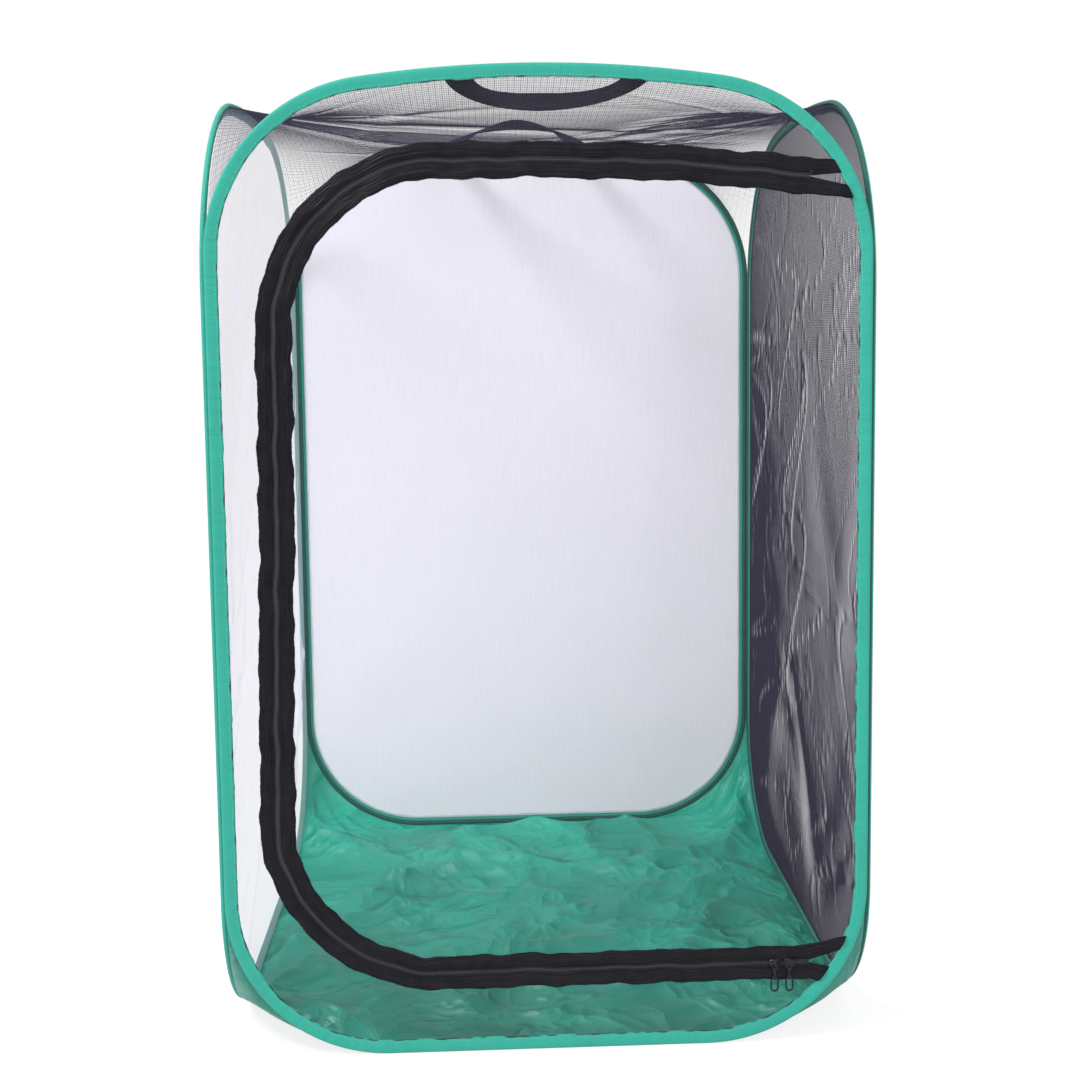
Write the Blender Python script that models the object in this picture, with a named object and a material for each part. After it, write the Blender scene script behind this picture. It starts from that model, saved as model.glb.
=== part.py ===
"""Pop-up insect cage: four sprung wire loops in folded fabric binding, sewn into a box with a
zipped front door, a net roof, a woven floor and two webbing handles.

Metres, +Z up. The front faces -Y and the origin is on the ground at the middle of the floor.
Every wall is modelled in one wall frame, as seen from outside it: X runs to the right along
the wall, Y runs inwards from the wall's middle plane, and Z is the height above the ground.
"""

import math

import bmesh
import bpy
import numpy as np
from mathutils import Matrix, Vector
from mathutils.geometry import tessellate_polygon

# Cage, measured between the middle planes of opposite walls
cage_width = 0.600
cage_depth = 0.600
cage_height = 0.905
crown_radius = 1.150
front_top_radius = 0.160
side_top_radius = 0.190
bottom_corner_radius = 0.150

# Running gap kept between sewn or seated pieces
seat_gap = 0.0003

# Sprung wire and the sleeve that joins its ends
wire_radius = 0.0012
sleeve_radius = 0.0019
sleeve_length = 0.024

# Binding: a folded strip round the wire, sewn to the panel's edge
leaf = 0.0005
bore_radius = sleeve_radius + seat_gap + 0.1 * seat_gap
binding_radius = bore_radius + 1.2 * leaf
binding_width = 0.0120
shoulder_depth = 0.0070
shoulder_half = 0.0020
panel_thickness = 0.0006
slit_half = panel_thickness / 2 + seat_gap
slit_start = 0.0064
edge_half = slit_half + leaf

# Panel edges reach this far in from the outside of the loop
panel_inset = slit_start + 2 * seat_gap

# Fold: closing corners turn on the inner faces, opening corners on the middle planes
fold_gap = 0.0006
closing_offset = binding_radius + fold_gap / 2
end_setback = 0.0015

# Steps along the outline of a loop
corner_steps = 7
crown_steps = 8
side_steps = 3
bottom_steps = 3
section_sides = 8

# Zipper: the centre line of its C, on the front wall
zipper_side_margin = 0.0555
zipper_bottom = 0.0770
zipper_top_margin = 0.0800
zipper_top_radius = 1.750
zipper_upper_corner = 0.150
zipper_lower_corner = 0.135
coil_end_margin = 0.0600
hinge_margin = 0.1080
row_gap = 0.0012
row_width = 0.0020
row_height = 0.0020
tape_thickness = 0.0006
tape_width = 0.0131
tape_out = panel_thickness / 2 + seat_gap
cloth_setback = 0.0070
hinge_clearance = 0.0090
stop_length = 0.0030
stop_overhang = 0.0004
zipper_run_steps = 4
zipper_corner_steps = 9

# Tape tails: how far below the zipper's top line, and above its bottom line, their edges meet the front rim
tail_top_drops = (0.0010, 0.0135, 0.0240, 0.0365)
tail_bottom_rises = (-0.0190, -0.0055, 0.0105, 0.0240)
tail_steps = 3

# Zipper sliders and pulls
slider_length = 0.0110
slider_spacing = 0.0140
slider_plate = 0.0010
slider_flange = 0.0010
slider_nose_overhang = 0.0008
post_length = 0.0035
post_width = row_gap - 2 * seat_gap
bail_width = 0.0016
bail_thickness = 0.0009
bail_opening = 0.0028
pull_thickness = 0.0010
pull_frame = 0.0011
pull_length = 0.0270
pull_ring_width = 0.0078
pull_ring_length = 0.0150
pull_ring_wall = 0.0017
pull_eye_length = 0.0036
bail_play = 0.0004

# Handles: webbing loops sewn to the crest of the front and back rims
handle_thickness = 0.0014
handle_width = 0.0260
handle_half_span = 0.0950
handle_reach = 0.2285
handle_tilt = math.radians(33)
handle_shift = 0.0095
handle_lap = 0.0020
handle_run_in = 0.0300
handle_rise = 0.0004
handle_steps = 26

# Roof net and floor cloth
cloth_thickness = 0.0006
roof_seam_drop = 0.0034
floor_cells = 22
floor_foot = 0.0010

# Black net, drawn as a coarse grid of bands inside a closed hem: gaps across and up the right
# wall, and for the roof how many cells the sheet has in each gap, more where it bends down
net_hem = 0.0160
net_band = 0.0080
right_net_gaps = (9, 14)
roof_gap_cells = (4, 2, 1, 1, 1, 1, 1, 2, 4)

# Overrun of a body into the one it is joined to
overlap = 0.0002

half_width = cage_width / 2
half_depth = cage_depth / 2

# Loops: half width over the binding, and top corner radius
front_loop = (half_width - end_setback, front_top_radius)
side_loop = (half_depth - end_setback, side_top_radius)

# Places on the front that follow the cage's size
zipper_left = zipper_side_margin - half_width
zipper_top = cage_height - zipper_top_margin
coil_end = half_width - coil_end_margin
hinge_x = half_width - hinge_margin
tail_top_heights = tuple(zipper_top - drop for drop in tail_top_drops)
tail_bottom_heights = tuple(zipper_bottom + rise for rise in tail_bottom_rises)


def clear_scene():
    for old in list(bpy.data.objects):
        bpy.data.objects.remove(old, do_unlink=True)


def material(name, colour, roughness, metallic=0.0, alpha=1.0):
    made = bpy.data.materials.new(name)
    made.use_nodes = True
    shader = made.node_tree.nodes["Principled BSDF"]
    shader.inputs["Base Color"].default_value = (*colour, 1.0)
    shader.inputs["Roughness"].default_value = roughness
    shader.inputs["Metallic"].default_value = metallic
    shader.inputs["Alpha"].default_value = alpha
    made.diffuse_color = (*colour, alpha)
    return made


def axis_empty(name, place, turn=0.0, parent=None):
    """An empty on a joint's axis, given in world coordinates with parents that are only moved and turned about Z."""
    empty = bpy.data.objects.new(name, None)
    bpy.context.collection.objects.link(empty)
    world = Matrix.Translation(place) @ Matrix.Rotation(turn, 4, "Z")
    if parent is not None:
        empty.parent = parent
        world = parent.matrix_world.inverted() @ world
    empty.location = world.to_translation()
    empty.rotation_euler = world.to_euler()
    bpy.context.view_layer.update()
    return empty


def place_in(obj, frame, world):
    """Parents obj to an empty and gives it a world placement."""
    local = frame.matrix_world.inverted() @ world
    obj.parent = frame
    obj.location = local.to_translation()
    obj.rotation_euler = local.to_euler()
    return obj


def mesh_object(name, points, faces, finish, smooth_below=None):
    mesh = bpy.data.meshes.new(name)
    mesh.from_pydata([tuple(float(c) for c in p) for p in points], [], faces)
    shell = bmesh.new()
    shell.from_mesh(mesh)
    bmesh.ops.delete(shell, geom=[spot for spot in shell.verts if not spot.link_faces], context="VERTS")
    bmesh.ops.recalc_face_normals(shell, faces=shell.faces)
    shell.to_mesh(mesh)
    shell.free()
    mesh.materials.append(finish)
    if smooth_below is not None:
        mesh.shade_smooth()
        mesh.set_sharp_from_angle(angle=smooth_below)
    obj = bpy.data.objects.new(name, mesh)
    bpy.context.collection.objects.link(obj)
    return obj


def joined(name, bodies, finish):
    """One solid from overlapping bodies, by a Boolean union of each in turn."""
    first, *others = bodies
    for other in others:
        union = first.modifiers.new(other.name, "BOOLEAN")
        union.operation = "UNION"
        union.object = other
    bpy.context.view_layer.update()
    graph = bpy.context.evaluated_depsgraph_get()
    mesh = bpy.data.meshes.new_from_object(first.evaluated_get(graph))
    for body in bodies:
        bpy.data.objects.remove(body, do_unlink=True)
    mesh.materials.clear()
    mesh.materials.append(finish)
    mesh.name = name
    obj = bpy.data.objects.new(name, mesh)
    bpy.context.collection.objects.link(obj)
    return obj


def arc(centre, radius, start, end, steps):
    """Points on an arc and their directions from its centre, both ends included."""
    angles = np.linspace(start, end, steps + 1)
    ways = np.stack([np.cos(angles), np.sin(angles)], axis=1)
    return np.asarray(centre) + radius * ways, ways


def top_corner_height(loop):
    """Height of the top corner arcs' centres: the crown arc and the corner arc touch there."""
    half, top_radius = loop
    reach = crown_radius - top_radius
    return cage_height - crown_radius + math.sqrt(reach**2 - (half - top_radius) ** 2)


def loop_stations(loop):
    """Outer outline of a wall loop, as points (x, z) and inward normals.

    A flat foot, two bottom corner arcs, straight sides, two top corner arcs and a broad crown arc.
    """
    half, top_radius = loop
    inner = half - top_radius
    crown_z = cage_height - crown_radius
    top_z = top_corner_height(loop)
    lean = math.asin(inner / (crown_radius - top_radius))
    quarter = math.pi / 2
    foot = half - bottom_corner_radius
    pieces = [
        arc((foot, bottom_corner_radius), bottom_corner_radius, -quarter, 0, corner_steps),
        arc((inner, top_z), top_radius, 0, quarter - lean, corner_steps),
        arc((0, crown_z), crown_radius, quarter - lean, quarter + lean, crown_steps),
        arc((-inner, top_z), top_radius, quarter + lean, 2 * quarter, corner_steps),
        arc((-foot, bottom_corner_radius), bottom_corner_radius, 2 * quarter, 3 * quarter, corner_steps),
    ]
    points, ways = [], []
    straights = {0: side_steps, 3: side_steps, 4: bottom_steps}
    for number, (spots, outwards) in enumerate(pieces):
        if number in (2, 3):
            spots, outwards = spots[1:], outwards[1:]
        points += list(spots)
        ways += list(outwards)
        if number in straights:
            following = pieces[(number + 1) % len(pieces)][0][0]
            for share in np.linspace(0, 1, straights[number] + 1)[1:-1]:
                points.append(spots[-1] + share * (following - spots[-1]))
                ways.append(outwards[-1])
    return np.array(points), -np.array(ways)


def loop_line(loop, inset):
    points, inwards = loop_stations(loop)
    return points + inset * inwards


def rim_spot(height, inset, loop):
    """Where the right side of a loop's outline, moved in by inset, has this height."""
    points = loop_line(loop, inset)
    right = points[points[:, 0] > 0]
    right = right[np.argsort(right[:, 1])]
    return float(np.interp(height, right[:, 1], right[:, 0])), height


def crest_height(x):
    """Top of a loop at a distance x along the wall from its middle."""
    return cage_height - crown_radius + math.sqrt(crown_radius**2 - x**2)


def ring_body(name, loop, section, finish):
    """A closed ring: the section, as (inset, depth) points, carried round a loop's outline."""
    points, inwards = loop_stations(loop)
    count, sides = len(points), len(section)
    spots = []
    for point, inward in zip(points, inwards):
        for inset, depth in section:
            x, z = point + inset * inward
            spots.append((x, depth, z))
    faces = []
    for i in range(count):
        for j in range(sides):
            following, beside = (i + 1) % count, (j + 1) % sides
            faces.append((i * sides + j, i * sides + beside, following * sides + beside, following * sides + j))
    return mesh_object(name, spots, faces, finish, smooth_below=math.radians(40))


def binding_section():
    """Folded binding: round over the wire, tapering to two leaves with a slit between them."""
    outer = [(binding_width, edge_half), (shoulder_depth, shoulder_half)]
    inner = [(binding_width, -slit_half), (slit_start, -slit_half)]
    for step in range(5):
        angle = math.pi / 2 + step * math.pi / 4
        turn = (math.cos(angle), math.sin(angle))
        outer.append((binding_radius + binding_radius * turn[0], binding_radius * turn[1]))
        inner.append((binding_radius + bore_radius * turn[0], -bore_radius * turn[1]))
    outer += [(shoulder_depth, -shoulder_half), (binding_width, -edge_half)]
    inner += [(slit_start, slit_half), (binding_width, slit_half)]
    return outer + inner


def plate(name, loops, near, far, finish):
    """A flat plate between two depths. The first loop is its outline and the others are holes."""
    loops = [[tuple(float(c) for c in p) for p in loop] for loop in loops]
    flat = [p for loop in loops for p in loop]
    count = len(flat)
    triangles = tessellate_polygon([[Vector((x, z, 0)) for x, z in loop] for loop in loops])
    spots = [(x, near, z) for x, z in flat] + [(x, far, z) for x, z in flat]
    faces = [tuple(t) for t in triangles] + [tuple(i + count for i in reversed(t)) for t in triangles]
    start = 0
    for loop in loops:
        for i in range(len(loop)):
            a, b = start + i, start + (i + 1) % len(loop)
            faces.append((a, b, b + count, a + count))
        start += len(loop)
    return mesh_object(name, spots, faces, finish)


def ribbon(name, first, second, near, far, finish):
    """A strip between two edge lines with as many points, closed at both ends."""
    spots, faces = [], []
    for (ax, az), (bx, bz) in zip(first, second):
        spots += [(ax, near, az), (bx, near, bz), (bx, far, bz), (ax, far, az)]
    for i in range(len(first) - 1):
        for j in range(4):
            k = (j + 1) % 4
            faces.append((4 * i + j, 4 * i + k, 4 * (i + 1) + k, 4 * (i + 1) + j))
    last = 4 * (len(first) - 1)
    faces += [(3, 2, 1, 0), (last, last + 1, last + 2, last + 3)]
    return mesh_object(name, spots, faces, finish)


def block(name, low, high, finish):
    """A box between two corners."""
    (x0, y0, z0), (x1, y1, z1) = low, high
    spots = [(x, y, z) for x in (x0, x1) for y in (y0, y1) for z in (z0, z1)]
    faces = [(0, 1, 3, 2), (4, 6, 7, 5), (0, 4, 5, 1), (2, 3, 7, 6), (0, 2, 6, 4), (1, 5, 7, 3)]
    return mesh_object(name, spots, faces, finish)


def zipper_line(offset, bottom_end, top_end):
    """The zipper's C from its bottom right end to its top right end, shifted outwards by offset."""
    quarter = math.pi / 2
    low, high = zipper_bottom - offset, zipper_top
    lower_centre = (zipper_left + zipper_lower_corner, zipper_bottom + zipper_lower_corner)
    upper_centre = (zipper_left + zipper_upper_corner, high - zipper_upper_corner)
    run = [(x, low) for x in np.linspace(bottom_end, lower_centre[0], zipper_run_steps + 1)]
    lower, _ = arc(lower_centre, zipper_lower_corner + offset, -quarter, -2 * quarter, zipper_corner_steps)
    upper, _ = arc(upper_centre, zipper_upper_corner + offset, 2 * quarter, quarter, zipper_corner_steps)
    radius = zipper_top_radius + offset
    lean = math.asin(top_end / radius)
    crown, _ = arc((0, high - zipper_top_radius), radius, quarter, quarter - lean, zipper_run_steps)
    return run + [tuple(p) for p in lower[1:]] + [tuple(p) for p in upper] + [tuple(p) for p in crown]


def towards(start, end, steps):
    """Points from start, left out, to end, kept."""
    start, end = np.array(start), np.array(end)
    return [tuple(start + share * (end - start)) for share in np.linspace(0, 1, steps + 1)[1:]]


def tail_end(height):
    return rim_spot(height, binding_width + seat_gap, front_loop)


def with_tails(line, bottom_height, top_height):
    """A tape edge carried on past the coil's ends to the rim."""
    bottom = towards(line[0], tail_end(bottom_height), tail_steps)
    top = towards(line[-1], tail_end(top_height), tail_steps)
    return bottom[::-1] + line + top


def within(outline, box):
    """The part of a box that a convex outline, run anticlockwise, keeps: its corners in order, or none."""
    low_x, low_z, high_x, high_z = box
    kept = [np.array(c) for c in ((low_x, low_z), (high_x, low_z), (high_x, high_z), (low_x, high_z))]
    for start, end in zip(outline, np.roll(outline, -1, axis=0)):
        inside = [(end[0] - start[0]) * (c[1] - start[1]) - (end[1] - start[1]) * (c[0] - start[0]) for c in kept]
        corners = []
        for i, corner in enumerate(kept):
            before, depth = inside[i - 1], inside[i]
            if (before < 0) != (depth < 0):
                corners.append(kept[i - 1] + before / (before - depth) * (corner - kept[i - 1]))
            if depth >= 0:
                corners.append(corner)
        kept = corners
    return kept


def net_gaps(loop):
    """Outlines of the gaps in a wall's net: an even grid, cut off at the hem. A sliver at the hem stays closed."""
    hem = loop_line(loop, panel_inset + net_hem)
    (low_x, low_z), (high_x, high_z) = hem.min(axis=0), hem.max(axis=0)
    columns, rows = right_net_gaps
    pitch_x, pitch_z = (high_x - low_x + net_band) / columns, (high_z - low_z + net_band) / rows
    gaps = []
    for i in range(columns):
        for j in range(rows):
            x, z = low_x + i * pitch_x, low_z + j * pitch_z
            gap = within(hem, (x, z, x + pitch_x - net_band, z + pitch_z - net_band))
            area = sum(a[0] * b[1] - b[0] * a[1] for a, b in zip(gap, gap[1:] + gap[:1])) / 2
            if area > net_band * net_band:
                gaps.append(gap[::-1])
    return gaps


def band_lines(half):
    """Grid lines of the roof sheet along one way, and for each cell between them whether it lies in a gap."""
    gaps = len(roof_gap_cells)
    pitch = (2 * (half - net_hem) + net_band) / gaps
    lines, in_gap = [-half, net_hem / 2 - half], [False, False]
    for number, cells in enumerate(roof_gap_cells):
        start = net_hem - half + number * pitch
        lines += list(np.linspace(start, start + pitch - net_band, cells + 1))
        in_gap += [True] * cells + [False]
    lines += [half - net_hem / 2, half]
    return np.array(lines), np.array(in_gap + [False])


def relaxed(edge, x, y):
    """Heights of a taut sheet over a rectangle, from its edge height as a function of the place along a wall.

    Each inner height on the grid of places x and y is brought to the distance-weighted mean of
    its four neighbours until nothing moves.
    """
    across, along = np.meshgrid(x, y, indexing="ij")
    height = np.zeros_like(across)
    height[:, 0] = height[:, -1] = [edge(v, x[-1], front_loop) for v in x]
    height[0, :] = height[-1, :] = [edge(v, y[-1], side_loop) for v in y]
    height[1:-1, 1:-1] = height[:, 0].mean()
    dx, dy = np.diff(x)[:, None], np.diff(y)[None, :]
    west, east = 1 / (dx[:-1] * (dx[:-1] + dx[1:])), 1 / (dx[1:] * (dx[:-1] + dx[1:]))
    south, north = 1 / (dy[:, :-1] * (dy[:, :-1] + dy[:, 1:])), 1 / (dy[:, 1:] * (dy[:, :-1] + dy[:, 1:]))
    total = west + east + south + north
    for _ in range(4000):
        inner = west * height[:-2, 1:-1] + east * height[2:, 1:-1]
        inner = inner + south * height[1:-1, :-2] + north * height[1:-1, 2:]
        height[1:-1, 1:-1] = inner / total
    return across, along, height


def sheet_body(name, across, along, under, over, closed, finish):
    """A sheet between two height fields on one grid, with the cells that closed says and walls round the others."""
    rows, columns = across.shape
    spots = [(across[i, j], along[i, j], under[i, j]) for i in range(rows) for j in range(columns)]
    spots += [(across[i, j], along[i, j], over[i, j]) for i in range(rows) for j in range(columns)]
    count = rows * columns
    solid = np.pad(closed, 1)
    faces = []
    for i in range(rows - 1):
        for j in range(columns - 1):
            if not closed[i, j]:
                continue
            a, b = i * columns + j, (i + 1) * columns + j
            faces += [(a, a + 1, b + 1, b), (a + count, b + count, b + 1 + count, a + 1 + count)]
            sides = ((i, j + 1, a, a + 1), (i + 2, j + 1, b + 1, b), (i + 1, j, b, a), (i + 1, j + 2, a + 1, b + 1))
            faces += [(c, d, d + count, c + count) for k, m, c, d in sides if not solid[k, m]]
    return mesh_object(name, spots, faces, finish, smooth_below=math.radians(60))


clear_scene()

green_binding = material("green_binding", (0.053, 0.509, 0.337), 0.72)
green_nylon = material("green_nylon", (0.045, 0.352, 0.242), 0.62)
white_sheer = material("white_sheer", (0.90, 0.90, 0.94), 0.85, alpha=0.45)
clear_sheer = material("clear_sheer", (0.93, 0.93, 0.95), 0.85, alpha=0.15)
black_net = material("black_net", (0.035, 0.033, 0.045), 0.85, alpha=0.55)
black_tape = material("black_tape", (0.012, 0.011, 0.015), 0.80)
black_coil = material("black_coil", (0.016, 0.015, 0.018), 0.35)
black_enamel = material("black_enamel", (0.018, 0.017, 0.020), 0.28, 0.6)
black_webbing = material("black_webbing", (0.020, 0.019, 0.027), 0.88)
spring_steel = material("spring_steel", (0.55, 0.56, 0.58), 0.35, 1.0)

# Fold pivots, in plan
back_left = Vector((-half_width + closing_offset, half_depth - closing_offset, 0))
front_left = Vector((-half_width, -half_depth, 0))
front_right = Vector((half_width - closing_offset, -half_depth + closing_offset, 0))
back_right = Vector((half_width, half_depth, 0))

back_frame = axis_empty("back_wall_centre", Vector((0, half_depth, 0)), math.pi)
left_frame = axis_empty("left_wall_axis", back_left, -math.pi / 2)
right_frame = axis_empty("right_wall_axis", back_right, math.pi / 2)
front_frame = axis_empty("front_wall_axis", front_left, 0, left_frame)

# Each wall: its frame, its loop, and the placement of its middle plane at the ground
walls = {
    "back": (back_frame, front_loop, Matrix.Translation((0, half_depth, 0)) @ Matrix.Rotation(math.pi, 4, "Z")),
    "left": (left_frame, side_loop, Matrix.Translation((-half_width, 0, 0)) @ Matrix.Rotation(-math.pi / 2, 4, "Z")),
    "right": (right_frame, side_loop, Matrix.Translation((half_width, 0, 0)) @ Matrix.Rotation(math.pi / 2, 4, "Z")),
    "front": (front_frame, front_loop, Matrix.Translation((0, -half_depth, 0))),
}
panel_finish = {"back": white_sheer, "left": white_sheer, "right": black_net}

# Wire loops, their joining sleeves, the bindings round them and the three plain wall panels
for side, (frame, loop, placement) in walls.items():
    wire_section = []
    for step in range(section_sides):
        angle = 2 * math.pi * step / section_sides
        wire_section.append((binding_radius + wire_radius * math.cos(angle), wire_radius * math.sin(angle)))
    wire = ring_body(side + "_wire_loop", loop, wire_section, spring_steel)
    place_in(wire, frame, placement)

    spots, faces = [], []
    sleeve_sides = 12
    for x in (-sleeve_length / 2, sleeve_length / 2):
        for radius in (sleeve_radius, wire_radius + seat_gap):
            for step in range(sleeve_sides):
                angle = 2 * math.pi * step / sleeve_sides
                spots.append((x, radius * math.sin(angle), binding_radius + radius * math.cos(angle)))
    for step in range(sleeve_sides):
        a, b = step, (step + 1) % sleeve_sides
        c, d, e, f = a + sleeve_sides, b + sleeve_sides, a + 2 * sleeve_sides, b + 2 * sleeve_sides
        g, h = a + 3 * sleeve_sides, b + 3 * sleeve_sides
        faces += [(a, b, f, e), (c, g, h, d), (a, c, d, b), (e, f, h, g)]
    sleeve = mesh_object(side + "_wire_sleeve", spots, faces, spring_steel, smooth_below=math.radians(40))
    place_in(sleeve, frame, placement)

    binding = ring_body(side + "_binding", loop, binding_section(), green_binding)
    place_in(binding, frame, placement)
    if side != "front":
        outlines = [loop_line(loop, panel_inset)]
        if side == "right":
            outlines += net_gaps(loop)
        panel = plate(side + "_panel", outlines, -panel_thickness / 2, panel_thickness / 2, panel_finish[side])
        place_in(panel, frame, placement)

# Front wall: a fixed panel with the door's opening in it, and the zipper round that opening
front_place = walls["front"][2]
door_frame = axis_empty(
    "door_axis", Vector((hinge_x, -half_depth - panel_thickness / 2, 0)), 0, front_frame
)
row_inner = row_gap / 2
row_outer = row_inner + row_width
tape_inner = row_outer + seat_gap
tape_outer = tape_inner + tape_width
coil_middle = tape_out + tape_thickness / 2
row_front = coil_middle + row_height / 2
row_back = coil_middle - row_height / 2
fixed_edge = hinge_x + seat_gap / 2
door_edge = hinge_x - seat_gap / 2
slot_end = coil_end + stop_length + 3 * seat_gap

slot_outer = zipper_line(cloth_setback, slot_end, slot_end)
slot_inner = zipper_line(-cloth_setback, slot_end, slot_end)
hinge_high = zipper_line(-cloth_setback, fixed_edge, fixed_edge)[-1]
opening = slot_outer + [slot_inner[-1], hinge_high, (fixed_edge, zipper_bottom + cloth_setback), slot_inner[0]]
front_outline = loop_line(front_loop, panel_inset)
front_panel = plate(
    "front_panel", [front_outline, opening], -panel_thickness / 2, panel_thickness / 2, clear_sheer
)
place_in(front_panel, front_frame, front_place)

door_outline = zipper_line(-cloth_setback, door_edge, door_edge)
door_panel = plate("door_panel", [door_outline], -panel_thickness / 2, panel_thickness / 2, clear_sheer)
place_in(door_panel, door_frame, front_place)

outer_tape = ribbon(
    "outer_zipper_tape",
    with_tails(zipper_line(tape_inner, coil_end, coil_end), tail_bottom_heights[1], tail_top_heights[1]),
    with_tails(zipper_line(tape_outer, coil_end, coil_end), tail_bottom_heights[0], tail_top_heights[0]),
    -tape_out,
    -tape_out - tape_thickness,
    black_tape,
)
place_in(outer_tape, front_frame, front_place)

door_end = hinge_x - hinge_clearance
stub_start = hinge_x + hinge_clearance
door_tape = ribbon(
    "door_zipper_tape",
    zipper_line(-tape_inner, door_end, door_end),
    zipper_line(-tape_outer, door_end, door_end),
    -tape_out,
    -tape_out - tape_thickness,
    black_tape,
)
place_in(door_tape, door_frame, front_place)


def tail_edges(offset, top, height):
    """Edge of the short fixed stretch of the door-side tape, from beside the hinge to the rim."""
    stub = zipper_line(offset, stub_start, stub_start)
    full = zipper_line(offset, coil_end, coil_end)
    if top:
        return [stub[-1]] + towards(stub[-1], full[-1], tail_steps) + towards(full[-1], tail_end(height), tail_steps)
    return [stub[0]] + towards(stub[0], full[0], tail_steps) + towards(full[0], tail_end(height), tail_steps)


for name, top, heights in (
    ("upper_tape_tail", True, tail_top_heights[2:]),
    ("lower_tape_tail", False, tail_bottom_heights[2:]),
):
    near_edge = tail_edges(-tape_inner, top, heights[0])
    far_edge = tail_edges(-tape_outer, top, heights[1])
    tail = ribbon(name, near_edge, far_edge, -tape_out, -tape_out - tape_thickness, black_tape)
    place_in(tail, front_frame, front_place)

outer_coil = ribbon(
    "outer_coil",
    zipper_line(row_inner, coil_end, coil_end),
    zipper_line(row_outer, coil_end, coil_end),
    -row_back,
    -row_front,
    black_coil,
)
place_in(outer_coil, front_frame, front_place)
door_coil = ribbon(
    "door_coil",
    zipper_line(-row_inner, door_end, door_end),
    zipper_line(-row_outer, door_end, door_end),
    -row_back,
    -row_front,
    black_coil,
)
place_in(door_coil, door_frame, front_place)

for name, top in (("upper_coil_end", True), ("lower_coil_end", False)):
    edges = []
    for offset in (-row_inner, -row_outer):
        stub = zipper_line(offset, stub_start, stub_start)[-1 if top else 0]
        full = zipper_line(offset, coil_end, coil_end)[-1 if top else 0]
        edges.append([stub] + towards(stub, full, tail_steps))
    piece = ribbon(name, edges[0], edges[1], -row_back, -row_front, black_coil)
    place_in(piece, front_frame, front_place)

for name, top in (("upper_end_stop", True), ("lower_end_stop", False)):
    reach = row_outer + seat_gap
    middle = zipper_line(0, coil_end, coil_end)[-1 if top else 0][1]
    stop = block(
        name,
        (coil_end + seat_gap, -row_front - stop_overhang, middle - reach),
        (coil_end + seat_gap + stop_length, -row_back + stop_overhang, middle + reach),
        black_enamel,
    )
    place_in(stop, front_frame, front_place)

# Sliders: a back plate and a front plate held by one post between the coil rows, with flanges
# that keep the rows in and leave slits for the tapes, and a bail for the pull
channel_half = row_outer + seat_gap
plate_half = channel_half + slider_flange
front_face = row_front + seat_gap
back_face = row_back - seat_gap
tape_front = tape_out + tape_thickness + seat_gap
tape_back = tape_out - seat_gap
pull_axis_out = front_face + slider_plate + bail_play + math.sqrt(0.5) * pull_thickness
bail_inside = pull_axis_out + math.sqrt(0.5) * pull_thickness + bail_play


def slider(name, nose):
    """A slider with its middle at X 0 and Z 0 and its wide mouth towards nose, which is 1 or -1."""
    tail_x, nose_x = -nose * slider_length / 2, nose * slider_length / 2
    wide = plate_half + slider_nose_overhang
    chamfer = slider_nose_overhang + slider_flange
    plan = [
        (tail_x, plate_half - chamfer),
        (tail_x + nose * chamfer, plate_half),
        (0, plate_half),
        (nose_x - nose * 2 * chamfer, wide),
        (nose_x - nose * chamfer, wide),
        (nose_x, wide - 2 * chamfer),
    ]
    plan += [(x, -z) for x, z in reversed(plan)]
    bodies = [
        plate("front_plate", [plan], -front_face, -front_face - slider_plate, black_enamel),
        plate("back_plate", [plan], -back_face, -back_face + slider_plate, black_enamel),
    ]
    post_x = sorted((nose_x - nose * chamfer, nose_x - nose * (chamfer + post_length)))
    bodies.append(
        block(
            "post",
            (post_x[0], -front_face - overlap, -post_width / 2),
            (post_x[1], -back_face + overlap, post_width / 2),
            black_enamel,
        )
    )
    flange_x = sorted((tail_x + nose * chamfer, nose_x - nose * 2 * chamfer))
    for side in (1, -1):
        z = sorted((side * channel_half, side * plate_half))
        low, high = (flange_x[0], z[0]), (flange_x[1], z[1])
        bodies.append(
            block(
                "front_flange",
                (low[0], -front_face - overlap, low[1] + (overlap if side < 0 else 0)),
                (high[0], -tape_front, high[1] - (overlap if side > 0 else 0)),
                black_enamel,
            )
        )
        bodies.append(
            block(
                "back_flange",
                (low[0], -tape_back, low[1] + (overlap if side < 0 else 0)),
                (high[0], -back_face + overlap, high[1] - (overlap if side > 0 else 0)),
                black_enamel,
            )
        )
    top = front_face + slider_plate
    arch = [
        (-bail_opening / 2, top - overlap),
        (-bail_opening / 2, bail_inside),
        (bail_opening / 2, bail_inside),
        (bail_opening / 2, top - overlap),
        (bail_opening / 2 + bail_thickness, top - overlap),
        (bail_opening / 2 + bail_thickness, bail_inside + bail_thickness / 2),
        (bail_opening / 2, bail_inside + bail_thickness),
        (-bail_opening / 2, bail_inside + bail_thickness),
        (-bail_opening / 2 - bail_thickness, bail_inside + bail_thickness / 2),
        (-bail_opening / 2 - bail_thickness, top - overlap),
    ]
    bail = plate("bail", [arch], -bail_width / 2, bail_width / 2, black_enamel)
    bail.data.transform(Matrix(((0, 1, 0, 0), (0, 0, -1, 0), (1, 0, 0, 0), (0, 0, 0, 1))))
    bodies.append(bail)
    return joined(name, bodies, black_enamel)


def oval(half_x, half_z, centre_z, steps=12):
    """A loop with round ends: two half circles of half_x joined by straight sides."""
    upper, _ = arc((0, centre_z + half_z - half_x), half_x, 0, math.pi, steps // 2)
    lower, _ = arc((0, centre_z - half_z + half_x), half_x, math.pi, 2 * math.pi, steps // 2)
    return [tuple(p) for p in upper] + [tuple(p) for p in lower]


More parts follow.
